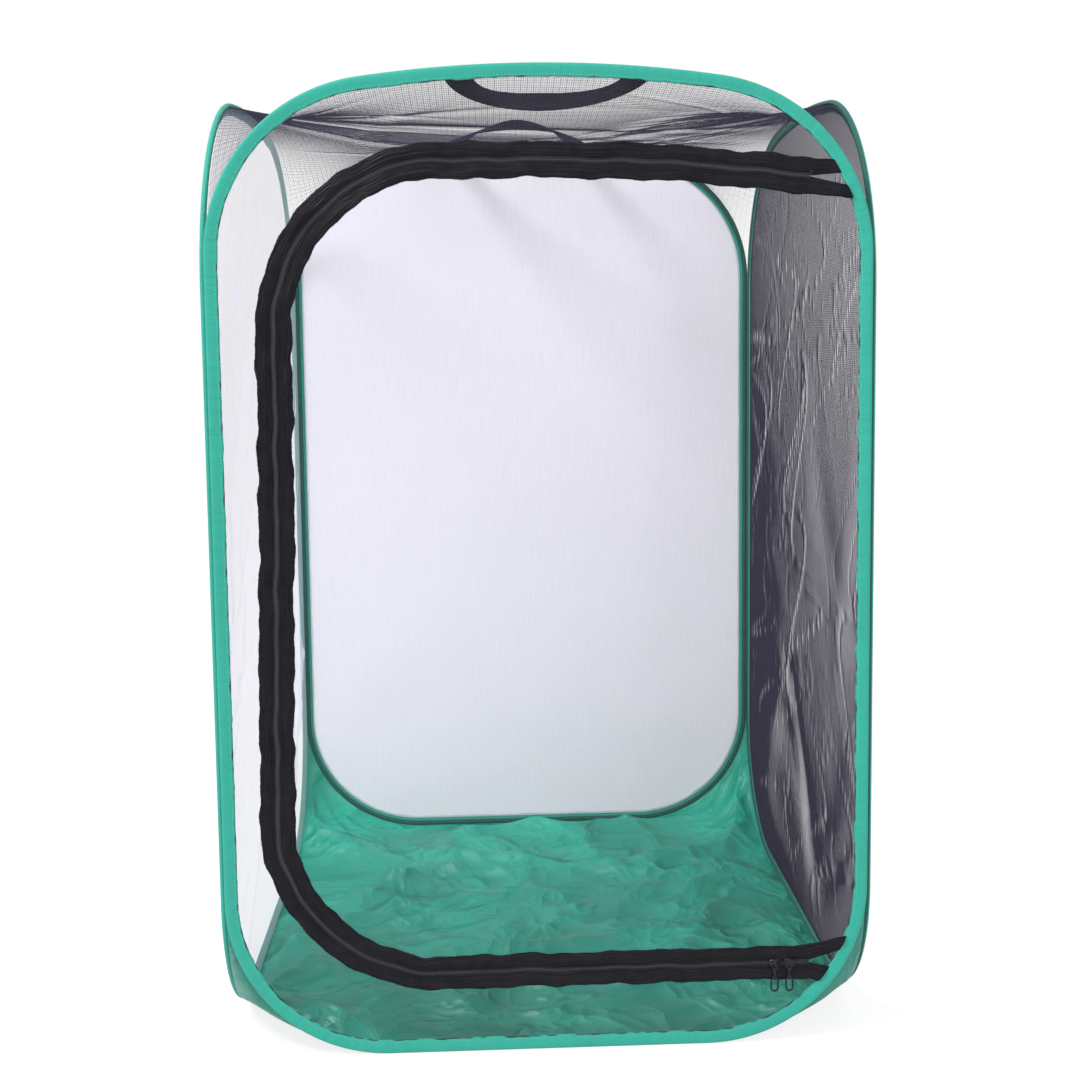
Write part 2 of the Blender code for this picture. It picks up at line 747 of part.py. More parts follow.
def pull(name):
    """A pull hanging from its crossbar, which is on X at the origin: an eye round the bail, a neck and a ring."""
    bar = pull_thickness / 2
    eye_half = bail_width / 2 + bail_play
    shoulder = eye_half + pull_frame
    eye_low = -bar - pull_eye_length
    neck_low = -pull_length + pull_ring_length
    ring_half = pull_ring_width / 2
    ring_middle = -pull_length + pull_ring_length / 2
    ring = oval(ring_half, pull_ring_length / 2, ring_middle)
    joint = 7 * ring_half / 8
    below = [p for p in ring if p[1] < ring_middle + pull_ring_length / 2 - joint]
    below.sort(key=lambda p: math.atan2(p[0], -(p[1] - ring_middle)))
    outline = [(-shoulder, bar), (-shoulder, eye_low - pull_frame), (-pull_frame, eye_low - 2 * pull_frame)]
    outline += [(-pull_frame, neck_low + pull_frame)] + below
    outline += [(pull_frame, neck_low + pull_frame), (pull_frame, eye_low - 2 * pull_frame)]
    outline += [(shoulder, eye_low - pull_frame), (shoulder, bar)]
    eye = [(-eye_half, -bar), (eye_half, -bar), (eye_half, eye_low), (-eye_half, eye_low)]
    hole = oval(ring_half - pull_ring_wall, pull_ring_length / 2 - pull_ring_wall, ring_middle)
    return plate(name, [outline, eye, hole], -pull_thickness / 2, pull_thickness / 2, black_enamel)


slider_b_x = coil_end - slider_length / 2 - 0.9 * slider_length
slider_a_x = slider_b_x - slider_spacing
for letter, x, nose in (("a", slider_a_x, 1), ("b", slider_b_x, -1)):
    slider_frame = axis_empty(
        f"slider_{letter}_axis", Vector((x, -half_depth, zipper_bottom)), 0, front_frame
    )
    body = slider(f"slider_{letter}", nose)
    place_in(body, slider_frame, Matrix.Translation((x, -half_depth, zipper_bottom)))
    hang = Vector((x, -half_depth - pull_axis_out, zipper_bottom))
    pull_frame_empty = axis_empty(f"pull_{letter}_axis", hang, 0, slider_frame)
    place_in(pull(f"pull_{letter}"), pull_frame_empty, Matrix.Translation(hang))


def handle(name, frame, placement):
    """A webbing loop sewn down on the crest of a rim and lying back over the roof.

    Its outer edge is half an ellipse in plan. The strap is flat at its ends and tilts up
    inwards on the way round.
    """
    outer, inner = [], []
    laps = [(0.0, -handle_lap)] + [(math.pi * step / handle_steps, 0.0) for step in range(handle_steps + 1)]
    laps.append((math.pi, -handle_lap))
    for angle, lap in laps:
        swing = math.sin(angle)
        x = handle_shift - handle_half_span * math.cos(angle)
        y = handle_reach * swing + lap
        turn = Vector((handle_half_span * swing, handle_reach * math.cos(angle), 0)).normalized()
        tilt = handle_tilt * swing**2
        side = Vector((turn.y, -turn.x, 0)) * math.cos(tilt) + Vector((0, 0, math.sin(tilt)))
        other = Vector((x, y, 0)) + handle_width * side
        for line, spot in ((outer, Vector((x, y, 0))), (inner, other)):
            crest = crest_height(spot.x)
            rise = min(1, max(0, spot.y) / handle_run_in)
            spot.z += handle_rise + crest + (cage_height - crest) * rise * (2 - rise)
            line.append(spot)
    spots, faces = [], []
    for i, (a, b) in enumerate(zip(outer, inner)):
        before, after = outer[max(i - 1, 0)], outer[min(i + 1, len(outer) - 1)]
        normal = (b - a).cross(after - before).normalized()
        lift = handle_thickness * (normal if normal.z > 0 else -normal)
        spots += [a, b, b + lift, a + lift]
    for i in range(len(outer) - 1):
        for j in range(4):
            k = (j + 1) % 4
            faces.append((4 * i + j, 4 * i + k, 4 * (i + 1) + k, 4 * (i + 1) + j))
    last = 4 * (len(outer) - 1)
    faces += [(3, 2, 1, 0), (last, last + 1, last + 2, last + 3)]
    strap = mesh_object(name, spots, faces, black_webbing, smooth_below=math.radians(50))
    return place_in(strap, frame, placement)


# Each handle turns on a level line through the wire's centre below its lower end
handle_far = abs(handle_shift) + handle_half_span
handle_axis_z = crest_height(handle_far) - binding_radius
front_handle_axis = axis_empty("front_handle_axis", Vector((0, -half_depth, handle_axis_z)), 0, front_frame)
handle("front_handle", front_handle_axis, front_place)
rear_handle_axis = axis_empty("rear_handle_axis", Vector((0, half_depth, handle_axis_z)), math.pi, back_frame)
handle("rear_handle", rear_handle_axis, walls["back"][2])


def roof_edge(place, half, loop):
    """Height of the roof seam: the loop's outline, a little in from its outside, down to where the corners meet."""
    x = min(abs(place) / half, 1) * (loop[0] - roof_seam_drop)
    if x > loop[0] - roof_seam_drop - overlap:
        return top_corner_height(side_loop)
    points = loop_line(loop, roof_seam_drop)
    right = points[(points[:, 1] > bottom_corner_radius) & (points[:, 0] >= 0)]
    right = right[np.argsort(right[:, 0])]
    return float(np.interp(x, right[:, 0], right[:, 1]))


sheet_x = half_width - binding_radius - 2 * seat_gap
sheet_y = half_depth - binding_radius - 2 * seat_gap
(lines_x, gaps_x), (lines_y, gaps_y) = band_lines(sheet_x), band_lines(sheet_y)
across, along, height = relaxed(roof_edge, lines_x, lines_y)
bands = ~(gaps_x[:, None] & gaps_y[None, :])
roof = sheet_body(
    "roof_panel", across, along, height - cloth_thickness / 2, height + cloth_thickness / 2, bands, black_net
)
place_in(roof, back_frame, Matrix.Identity(4))

# Floor: flat on the ground, its four corners turned up into the bottom corners of the loops
shares = np.sin(np.linspace(-math.pi / 2, math.pi / 2, floor_cells + 1))
across, along = np.meshgrid(sheet_x * shares, sheet_y * shares, indexing="ij")


def turned_up(place, half):
    """Share of the corner radius by which a loop's foot has risen at this place along it."""
    past = np.clip((np.abs(place) - (half - bottom_corner_radius)) / bottom_corner_radius, 0, 1)
    return 1 - np.sqrt(1 - past**2)


floor_height = bottom_corner_radius * turned_up(across, sheet_x) * turned_up(along, sheet_y)
whole = np.ones((floor_cells, floor_cells), dtype=bool)
floor = sheet_body(
    "floor_panel", across, along, floor_height, floor_height + floor_foot, whole, green_nylon
)
place_in(floor, back_frame, Matrix.Identity(4))
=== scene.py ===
"""The looks of a pop-up insect cage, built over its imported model.

Metres, +Z up, the front faces -Y. The sections follow the cage as it is put together.
"""

import math

import bmesh
import bpy
import numpy as np
from mathutils import Matrix, Vector


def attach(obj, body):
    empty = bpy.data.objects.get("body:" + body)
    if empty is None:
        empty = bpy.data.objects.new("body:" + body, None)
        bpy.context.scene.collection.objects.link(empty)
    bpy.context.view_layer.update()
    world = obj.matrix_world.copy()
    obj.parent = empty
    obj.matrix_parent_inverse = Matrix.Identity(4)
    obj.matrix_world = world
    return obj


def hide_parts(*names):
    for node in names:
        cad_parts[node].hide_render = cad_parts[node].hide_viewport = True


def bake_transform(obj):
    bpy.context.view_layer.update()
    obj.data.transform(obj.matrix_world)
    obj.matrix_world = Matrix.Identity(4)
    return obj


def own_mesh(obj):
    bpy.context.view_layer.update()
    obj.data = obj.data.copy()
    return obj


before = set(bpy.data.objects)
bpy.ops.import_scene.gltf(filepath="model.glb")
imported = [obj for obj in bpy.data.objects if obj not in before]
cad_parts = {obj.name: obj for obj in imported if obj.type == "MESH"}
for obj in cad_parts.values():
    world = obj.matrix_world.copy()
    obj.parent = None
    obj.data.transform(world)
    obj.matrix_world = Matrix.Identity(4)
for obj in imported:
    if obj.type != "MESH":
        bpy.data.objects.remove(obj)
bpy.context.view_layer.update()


# The studio
# A level white floor that runs out of sight, an even surround with a touch of violet, one soft
# lamp above on the left and a weaker one in front. The camera stands in front, at about two thirds
# of the cage's height.


def put_in_scene(name, data):
    """A new object that carries data, linked to the scene."""
    thing = bpy.data.objects.new(name, data)
    bpy.context.scene.collection.objects.link(thing)
    return thing


def adjust(node, **values):
    """Set a shader node's inputs: values names each one, with a low line where its name has a blank."""
    for socket, value in values.items():
        node.inputs[socket.replace("_", " ")].default_value = value
    return node


def add_node(made, kind, **values):
    """A new shader node in a material or world, with its inputs set."""
    return adjust(made.node_tree.nodes.new("ShaderNode" + kind), **values)


def connect(made, *joins):
    """Links in a material or world, each from a node's output to an input of another node."""
    for source, output, target, socket in joins:
        made.node_tree.links.new(source.outputs[output], target.inputs[socket])


def new_material(name, **values):
    """A material and its shader, with the shader's inputs set."""
    made = bpy.data.materials.new(name)
    made.use_nodes = True
    return made, adjust(made.node_tree.nodes["Principled BSDF"], **values)


def choose_by_camera(made, output, lighting, seen):
    """Join two shaders to a material's or world's output: the camera gets one, all other rays the other."""
    rays, choice = add_node(made, "LightPath"), add_node(made, "MixShader")
    connect(
        made,
        (rays, "Is Camera Ray", choice, 0),
        (lighting, 0, choice, 1),
        (seen, 0, choice, 2),
        (choice, 0, made.node_tree.nodes[output], "Surface"),
    )


camera_place = Vector((-0.054, -1.5553, 0.675))
camera_down = 0.0918
camera_turn = 0.0397
camera_roll = -0.012

camera = put_in_scene("camera", bpy.data.cameras.new("camera"))
camera.matrix_world = Matrix.Translation(camera_place)
for angle, axis in ((-camera_turn, "Z"), (math.pi / 2 - camera_down, "X"), (camera_roll, "Z")):
    camera.matrix_world = camera.matrix_world @ Matrix.Rotation(angle, 4, axis)
camera.data.sensor_width = 36.0
camera.data.lens = 46.75
camera.data.shift_y = -85 / 1078
camera.data.clip_end = 60.0
bpy.context.scene.camera = camera
bpy.context.scene.view_settings.view_transform = "Standard"

floor_mesh = bpy.data.meshes.new("studio_floor")
floor_mesh.from_pydata([(-30, -30, 0), (30, -30, 0), (30, 30, 0), (-30, 30, 0)], [], [(0, 1, 2, 3)])
studio_floor = put_in_scene("studio_floor", floor_mesh)

paper, paper_shader = new_material(
    "studio_paper", Base_Color=(0.86, 0.86, 0.86, 1), Roughness=1.0, Specular_IOR_Level=0.0
)
paper_glow = add_node(paper, "Emission", Color=(1, 1, 1, 1), Strength=0.81)
paper_seen = add_node(paper, "BsdfDiffuse", Color=(0.27, 0.27, 0.27, 1))
paper_sum = add_node(paper, "AddShader")
connect(paper, (paper_seen, 0, paper_sum, 0), (paper_glow, 0, paper_sum, 1))
choose_by_camera(paper, "Material Output", paper_shader, paper_sum)
floor_mesh.materials.append(paper)

world = bpy.data.worlds.new("surround")
bpy.context.scene.world = world
world.use_nodes = True
surround = adjust(world.node_tree.nodes["Background"], Color=(0.94, 0.91, 1.0, 1), Strength=0.78)
white = add_node(world, "Background", Color=(1, 1, 1, 1), Strength=1.0)
choose_by_camera(world, "World Output", surround, white)

for lamp_name, place, size, watts in (
    ("key_lamp", (-1.8, -1.2, 2.9), 0.9, 85),
    ("fill_lamp", (1.2, -2.6, 1.9), 1.2, 24),
):
    lamp_data = bpy.data.lights.new(lamp_name, "AREA")
    lamp_data.size = size
    lamp_data.energy = watts
    lamp = put_in_scene(lamp_name, lamp_data)
    lamp.location = place
    lamp.rotation_euler = (Vector((0, 0, 0.45)) - Vector(place)).to_track_quat("-Z", "Y").to_euler()


# Wire loops
# Sprung steel wire bent into four closed loops, each with its ends joined in a crimped sleeve.
# They stay hidden in the bindings and push the cage open.


def add_grain(made, shader, low, high, **values):
    """Fine noise, with its inputs in values, that takes the shader's roughness from low to high."""
    place = add_node(made, "TexCoord")
    grain = add_node(made, "TexNoise", **values)
    spread = add_node(made, "MapRange", To_Min=low, To_Max=high)
    connect(
        made,
        (place, "Object", grain, "Vector"),
        (grain, "Fac", spread, "Value"),
        (spread, "Result", shader, "Roughness"),
    )
    return grain


steel, steel_shader = new_material("spring_steel", Base_Color=(0.56, 0.57, 0.59, 1), Metallic=1.0)
steel_grain = add_grain(steel, steel_shader, 0.25, 0.39, Scale=900, Detail=3)
steel_bump = add_node(steel, "Bump", Strength=0.12, Distance=0.0001)
connect(steel, (steel_grain, "Fac", steel_bump, "Height"), (steel_bump, "Normal", steel_shader, "Normal"))
for side in ("back", "left", "right", "front"):
    for part in ("_wire_loop", "_wire_sleeve"):
        wire_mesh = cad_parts[side + part].data
        wire_mesh.materials.clear()
        wire_mesh.materials.append(steel)


# Bindings
# A green woven strip folded round each wire and the cloth's edge, and sewn through with one row of
# lockstitch that draws it in a little. On the back and the sides the inner leaf is cut short. The
# back and right strips are painted a darker green on their inner faces, as painted shade; the left
# one lies under the voile.

half_width = 0.300
half_depth = 0.300
cage_height = 0.905
crown_radius = 1.150
top_radius = {"front": 0.160, "back": 0.160, "left": 0.190, "right": 0.190}
bottom_corner_radius = 0.150
end_setback = 0.0015
loop_half = half_width - end_setback
binding_radius = 0.00283
binding_green = (0.026, 0.385, 0.280)
# A darker copy of the binding green: painted shade for the inner faces of the back and right strips.
painted_shade_green = (0.012, 0.115, 0.085)
stitch_green = (0.150, 0.560, 0.450)
wall_body = {side: side + "_wall" for side in ("back", "left", "right", "front")}


def onto_wall(side, along, out, height):
    """World places of points on a wall as seen from outside: along it to the right, out of it, and up."""
    along, out, height = np.broadcast_arrays(along, out, height)
    sign = 1 if side in ("front", "right") else -1
    if side in ("front", "back"):
        return np.stack([sign * along, -sign * (half_depth + out), height], axis=-1)
    return np.stack([sign * (half_width + out), sign * along, height], axis=-1)


def run_along(x, y):
    """The distance along a line of points up to each of them."""
    return np.concatenate([[0], np.cumsum(np.hypot(np.diff(x), np.diff(y)))])


def read_off(spots, turns, count, endpoint):
    """Places and angles read off at count equal distances along a line of spots, and those distances."""
    run = run_along(*spots.T)
    at = np.linspace(0, run[-1], count, endpoint=endpoint)
    place = np.stack([np.interp(at, run, spots[:, 0]), np.interp(at, run, spots[:, 1])], axis=1)
    return place, np.interp(at, run, turns), at


def wall_direction(side, along, out, height):
    """World directions of ones given on a wall."""
    return onto_wall(side, along, out, height) - onto_wall(side, 0.0, 0.0, 0.0)


def unit(steps):
    """The same directions, one long."""
    return steps / np.linalg.norm(steps, axis=1)[:, None]


def moved(line, reach, ways):
    """The x and z of a grid: each place of a line moved by its row of reach along its own way."""
    return line[:, :1] + reach * ways[:, :1], line[:, 1:] + reach * ways[:, 1:]


def top_corner(side):
    """The height of the crown arc's centre, and that of the centres of the two top corners' arcs."""
    crown_z = cage_height - crown_radius
    reach, inner = crown_radius - top_radius[side], loop_half - top_radius[side]
    return crown_z, crown_z + math.sqrt(reach**2 - inner**2)


def loop_line(side, inset, count):
    """A loop's outline moved in by inset: count places (x, z), inward normals and distances along it.

    Foot, two bottom arcs, straight sides, two top arcs and the crown arc, run anticlockwise from
    the right end of the foot and then read off at equal distances.
    """
    crown_z, top_z = top_corner(side)
    inner = loop_half - top_radius[side]
    lean = math.asin(inner / (crown_radius - top_radius[side]))
    foot = loop_half - bottom_corner_radius
    quarter = math.pi / 2
    arcs = (
        (foot, bottom_corner_radius, bottom_corner_radius, -quarter, 0),
        (inner, top_z, top_radius[side], 0, quarter - lean),
        (0, crown_z, crown_radius, quarter - lean, quarter + lean),
        (-inner, top_z, top_radius[side], quarter + lean, 2 * quarter),
        (-foot, bottom_corner_radius, bottom_corner_radius, 2 * quarter, 3 * quarter),
    )
    spots, turns = [], []
    for x, z, radius, start, end in arcs:
        angle = np.linspace(start, end, 240)
        bend = radius - inset
        spots.append(np.stack([x + bend * np.cos(angle), z + bend * np.sin(angle)], axis=1))
        turns.append(angle)
    spots.append(spots[0][:1])
    turns.append(turns[0][:1] + 2 * math.pi)
    place, turn, at = read_off(np.concatenate(spots), np.concatenate(turns), count, False)
    return place, -np.stack([np.cos(turn), np.sin(turn)], axis=1), at


def ripple(at, whole, lengths, seed):
    """An uneven wave from -1 to 1 along a closed run: the mean of sines of about the given lengths."""
    dice = np.random.default_rng(seed)
    total = np.zeros_like(np.asarray(at, dtype=float))
    for length in lengths:
        turns = max(1, round(whole / length))
        total = total + np.sin(2 * math.pi * turns * at / whole + dice.uniform(0, 2 * math.pi))
    return total / len(lengths)


def mesh_piece(name, points, made, *groups):
    """A smooth object from points and its faces, where each group is an array of faces of one size."""
    mesh = bpy.data.meshes.new(name)
    corners = np.concatenate([group.ravel() for group in groups])
    sizes = np.concatenate([np.full(len(group), group.shape[1]) for group in groups])
    mesh.vertices.add(len(points))
    mesh.vertices.foreach_set("co", points.reshape(-1).astype(np.float32))
    mesh.loops.add(len(corners))
    mesh.loops.foreach_set("vertex_index", corners.astype(np.int32))
    mesh.polygons.add(len(sizes))
    mesh.polygons.foreach_set("loop_start", (np.cumsum(sizes) - sizes).astype(np.int32))
    mesh.polygons.foreach_set("use_smooth", np.full(len(sizes), True))
    mesh.update(calc_edges=True)
    mesh.materials.append(made)
    return put_in_scene(name, mesh)


def grid_piece(name, places, made, closed=(False, False), uv=None):
    """A mesh over a grid of places, joined up across its ends where closed says so, with uv in metres."""
    rows, columns = places.shape[:2]
    i = np.arange(rows if closed[0] else rows - 1)
    j = np.arange(columns if closed[1] else columns - 1)
    i, j = (index.ravel() for index in np.meshgrid(i, j, indexing="ij"))
    k, m = (i + 1) % rows, (j + 1) % columns
    quads = np.stack([i * columns + j, k * columns + j, k * columns + m, i * columns + m], axis=1)
    piece = mesh_piece(name, places.reshape(-1, 3), made, quads)
    if uv is not None:
        layer = piece.data.uv_layers.new(name="cloth")
        corners = ((i, j), (i + 1, j), (i + 1, j + 1), (i, j + 1))
        values = np.stack([part[corner] for corner in corners for part in uv], axis=1)
        layer.data.foreach_set("uv", values.reshape(-1).astype(np.float32))
    piece.data.validate()
    return piece


def close_ends(piece):
    """Fill the two open ends of a tape or strap with a face each, and turn all of its faces outwards."""
    shell = bmesh.new()
    shell.from_mesh(piece.data)
    bmesh.ops.holes_fill(shell, edges=[edge for edge in shell.edges if edge.is_boundary])
    bmesh.ops.recalc_face_normals(shell, faces=shell.faces)
    shell.to_mesh(piece.data)
    shell.free()


def woven(name, colour, thread, roughness, bump_height, shade=0.10, sheen=0.25, alpha=1.0, gloss=0.3):
    """Plain woven cloth on its UV map: crossed waves one thread apart, and patches a shade off."""
    made, shader = new_material(
        name,
        Roughness=roughness,
        Sheen_Weight=sheen,
        Sheen_Roughness=0.5,
        Alpha=alpha,
        Specular_IOR_Level=gloss,
    )
    place = add_node(made, "TexCoord")
    weave = add_node(made, "Math")
    weave.operation = "MAXIMUM"
    waves_to_metre = 0.314
    for number, direction in enumerate(("X", "Y")):
        wave = add_node(made, "TexWave", Distortion=0.4, Detail=1.0, Detail_Scale=1.5)
        adjust(wave, Scale=waves_to_metre / thread)
        wave.bands_direction = direction
        connect(made, (place, "UV", wave, "Vector"), (wave, "Fac", weave, number))
    patch = add_node(made, "TexNoise", Scale=22, Detail=6, Roughness=0.65)
    tone, deep = add_node(made, "Mix"), add_node(made, "Mix")
    tone.data_type = deep.data_type = "RGBA"
    tone.inputs[6].default_value = (*(c * (1 - shade) for c in colour), 1)
    tone.inputs[7].default_value = (*(min(1.0, c * (1 + shade)) for c in colour), 1)
    deep.blend_type = "MULTIPLY"
    deep.inputs[0].default_value = 0.35
    bump = add_node(made, "Bump", Strength=0.6, Distance=bump_height)
    connect(
        made,
        (place, "Object", patch, "Vector"),
        (patch, "Fac", tone, 0),
        (tone, 2, deep, 6),
        (weave, 0, deep, 7),
        (deep, 2, shader, "Base Color"),
        (weave, 0, bump, "Height"),
        (bump, "Normal", shader, "Normal"),
    )
    return made


def node_of(made, kind):
    """The first node of a kind in a material."""
    return next(node for node in made.node_tree.nodes if node.type == kind)


def drawn_out(made, scale):
    """Noise on a cloth's UV map, drawn out by unequal scales along it and across it."""
    stretch = add_node(made, "Mapping", Scale=scale)
    noise = add_node(made, "TexNoise", Scale=1.0, Detail=3)
    place = node_of(made, "TEX_COORD")
    connect(made, (place, "UV", stretch, "Vector"), (stretch, "Vector", noise, "Vector"))
    return noise


def add_relief(made, texture, strength, distance):
    """A second bump under the weave's own, from the value of a texture."""
    relief = add_node(made, "Bump", Strength=strength, Distance=distance)
    weave_bump = node_of(made, "BUMP")
    connect(made, (texture, "Fac", relief, "Height"), (relief, "Normal", weave_bump, "Normal"))


def stitches(name, places, along, outward, length, radius, made):
    """A row of sewing thread: at each place a short eight-faced grain that lies along the seam."""
    side = np.cross(outward, along)
    half = length / 2
    tips = [half * along, -half * along, radius * side, -radius * side, radius * outward, -radius * outward]
    points = np.stack([places + tip for tip in tips], axis=1)
    upper = [(0, 2, 4), (2, 1, 4), (1, 3, 4), (3, 0, 4)]
    lower = [(2, 0, 5), (1, 2, 5), (3, 1, 5), (0, 3, 5)]
    faces = (np.array(upper + lower)[None] + 6 * np.arange(len(places))[:, None, None]).reshape(-1, 3)
    return mesh_piece(name, points.reshape(-1, 3), made, faces)


def thread_finish(name, colour, gloss=0.4, sheen=0.2):
    """Spun or drawn thread: one colour with a fine grain in its roughness."""
    made, shader = new_material(
        name, Base_Color=(*colour, 1), Sheen_Weight=sheen, Specular_IOR_Level=gloss
    )
    add_grain(made, shader, 0.45, 0.8, Scale=2600)
    return made


def puckered(name, colour):
    """Woven strip that its sewing draws into short folds across its length, as a second bump."""
    made = woven(name, colour, 0.0006, 0.60, 0.00012, shade=0.14, sheen=0.08)
    add_relief(made, drawn_out(made, (150, 22, 1)), 0.8, 0.0016)
    return made


binding_cloth = puckered("green_binding", binding_green)
binding_painted_shade = puckered("green_binding_painted_shade", painted_shade_green)
binding_thread = thread_finish("green_thread", stitch_green)
binding_stations = 900
stitch_pitch = 0.0034
stitch_length = 0.0025
stitch_radius = 0.00028
seam_inset = 0.0102

for number, side in enumerate(("back", "left", "right", "front")):
    centre, inward, run = loop_line(side, binding_radius, binding_stations)
    whole = run[-1] + run[1]
    turn = np.linspace(-math.pi / 2, -3 * math.pi / 2, 9)
    round_in = binding_radius * np.cos(turn)
    round_out = binding_radius * np.sin(turn)
    leaf_in = np.array([0.0042, 0.0064, 0.0080, 0.0092])
    leaf_out = np.array([0.00205, 0.00150, 0.00120, 0.00110])
    section_in = np.concatenate([leaf_in[::-1], round_in, leaf_in])
    section_out = np.concatenate([-leaf_out[::-1], round_out, leaf_out])
    if side != "front":
        section_in = np.concatenate([[0.0048, 0.0040, 0.0036], round_in, leaf_in])
        section_out = np.concatenate([[0.00025, -0.0006, -0.0015], round_out, leaf_out])
    on_leaf = np.clip(section_in / leaf_in[-1], 0, 1)
    pull = 1.6 * ripple(run, whole, (0.021, 0.034, 0.013, 0.083, 0.061), 40 + number)[:, None]
    pucker = ripple(run, whole, (0.0063, 0.0082, 0.0104), 50 + number)[:, None]
    reach = section_in[None, :] + 0.00070 * pull * on_leaf**2
    depth = section_out[None, :] * (1 + 0.16 * pucker * on_leaf)
    x, z = moved(centre, reach, inward)
    strip = run_along(section_in, section_out)
    strip = np.concatenate([strip, [strip[-1] + leaf_in[-1] - section_in[0] + 0.0010]])
    uv = np.meshgrid(np.concatenate([run, [whole]]), strip, indexing="ij")
    places = onto_wall(side, x, depth, np.maximum(z, 0.0))
    binding = grid_piece(side + "_binding_cloth", places, binding_cloth, (True, True), uv)
    # Painted shade: the inner faces of the back and right strips take the darker green.
    if side in ("back", "right"):
        binding.data.materials.append(binding_painted_shade)
        painted_shade_face = np.tile(section_out < 0.0001, len(centre))
        binding.data.polygons.foreach_set("material_index", painted_shade_face.astype(np.int32))
    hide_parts(side + "_binding")
    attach(binding, wall_body[side])

    seam, _, _ = loop_line(side, seam_inset, round(whole / stitch_pitch))
    following = unit(np.roll(seam, -1, axis=0) - np.roll(seam, 1, axis=0))
    along = wall_direction(side, following[:, 0], 0.0, following[:, 1])
    for face, out in (("outer", 1), ("inner", -1)):
        lift = 0.00128 if side == "front" or out > 0 else 0.0003
        spots = onto_wall(side, seam[:, 0], out * lift, seam[:, 1])
        outward = np.broadcast_to(wall_direction(side, 0.0, float(out), 0.0), along.shape)
        name = f"{side}_{face}_stitches"
        row = stitches(name, spots, along, outward, stitch_length, stitch_radius, binding_thread)
        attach(row, wall_body[side])


# The front rim's net is turned in twice under the binding, and its dark fold shows along the edge.
hem_start = 0.0112
hem_width = 0.0010
hem_line, hem_in, hem_run = loop_line("front", hem_start, 700)
hem_whole = hem_run[-1] + hem_run[1]
hem_edge = hem_width + 0.0003 * ripple(hem_run, hem_whole, (0.047, 0.021, 0.012), 71)
hem_inset = hem_edge[:, None] * np.array([0, 1, 1, 0])
hem_depth = np.array([0.0007, 0.0005, -0.0005, -0.0007])[None, :]
hem_x, hem_z = moved(hem_line, hem_inset, hem_in)
net_fold = thread_finish("net_fold", (0.045, 0.060, 0.065), gloss=0.0, sheen=0.0)
hem = grid_piece("front_net_fold", onto_wall("front", hem_x, hem_depth, hem_z), net_fold, (True, True))
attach(hem, "front_wall")


# White sheer walls
# The back and left walls are white voile, cut to the loop and sewn into its binding. The cloth is
# a little slack, so it pulls from the seams in shallow folds.

voile_white = (0.89, 0.87, 0.97)
panel_inset = 0.0070
left_inset = 0.0038
back_inset = 0.0098


def in_order(line, part, column):
    """The places of a line that part picks, in the order of their x (column 0) or z (column 1)."""
    return line[part][np.argsort(line[part, column])]


def columns_within(line, middle, along, rows):
    """Columns at the given x, each from a closed line's part below the height middle to the one above."""
    high = np.interp(along, *in_order(line, line[:, 1] > middle, 0).T)
    low = np.interp(along, *in_order(line, line[:, 1] <= middle, 0).T)
    height = low[:, None] + np.linspace(0, 1, rows)[None, :] * (high - low)[:, None]
    return np.broadcast_to(along[:, None], height.shape), height


def seam_distance(side, along, height):
    """How far a place on a wall lies from the loop's outline, from the arcs that make it."""
    x, corner = np.abs(along), top_radius[side]
    crown_z, top_z = top_corner(side)
    nearest = np.minimum(np.minimum(loop_half - x, height), crown_radius - np.hypot(x, height - crown_z))
    foot = loop_half - bottom_corner_radius
    low_corner = bottom_corner_radius - np.hypot(x - foot, height - bottom_corner_radius)
    high_corner = corner - np.hypot(x - (loop_half - corner), height - top_z)
    nearest = np.where((x > foot) & (height < bottom_corner_radius), low_corner, nearest)
    in_top_corner = (x > loop_half - corner) & (height > top_z)
    return np.where(in_top_corner, np.minimum(high_corner, nearest), nearest)


def slack(
    side, along, height, seed, folds, depth, widths=(0.012, 0.05), upright=0.65, reaches=(0.12, 0.35)
):
    """Out-of-plane sag of a sewn panel: soft ridges on slanted, mostly upright lines, none at the seam."""
    dice = np.random.default_rng(seed)
    total = np.zeros_like(height)
    for _ in range(folds):
        turn = dice.uniform(-0.6, 0.6) + (0.0 if dice.uniform() < upright else math.pi / 2)
        shift = dice.uniform(-0.3, 0.3), dice.uniform(0.1, 0.8)
        width = dice.uniform(*widths)
        reach = dice.uniform(*reaches)
        across = (along - shift[0]) * math.cos(turn) + (height - shift[1]) * math.sin(turn)
        down = -(along - shift[0]) * math.sin(turn) + (height - shift[1]) * math.cos(turn)
        bend = 0.08 * np.sin(3 * down / reach)
        total += dice.uniform(-1, 1) * np.exp(-(((across + bend) / width) ** 2) - (down / reach) ** 2)
    fade = np.clip((seam_distance(side, along, height) - 0.010) / 0.05, 0, 1)
    return depth * total * fade * fade * (3 - 2 * fade)


def sheer(name, colour, alpha, thread):
    """Sheer cloth: fine crossed threads on its UV map, with upright slubs that let less light through."""
    made = woven(name, colour, thread, 0.75, 0.00003, shade=0.02, sheen=0.3, alpha=alpha)
    spread = add_node(made, "MapRange", From_Min=0.3, From_Max=0.7)
    adjust(spread, To_Min=alpha * 0.97, To_Max=min(1.0, alpha * 1.03))
    slub, shader = drawn_out(made, (420, 26, 1)), made.node_tree.nodes["Principled BSDF"]
    connect(made, (slub, "Fac", spread, "Value"), (spread, "Result", shader, "Alpha"))
    return made


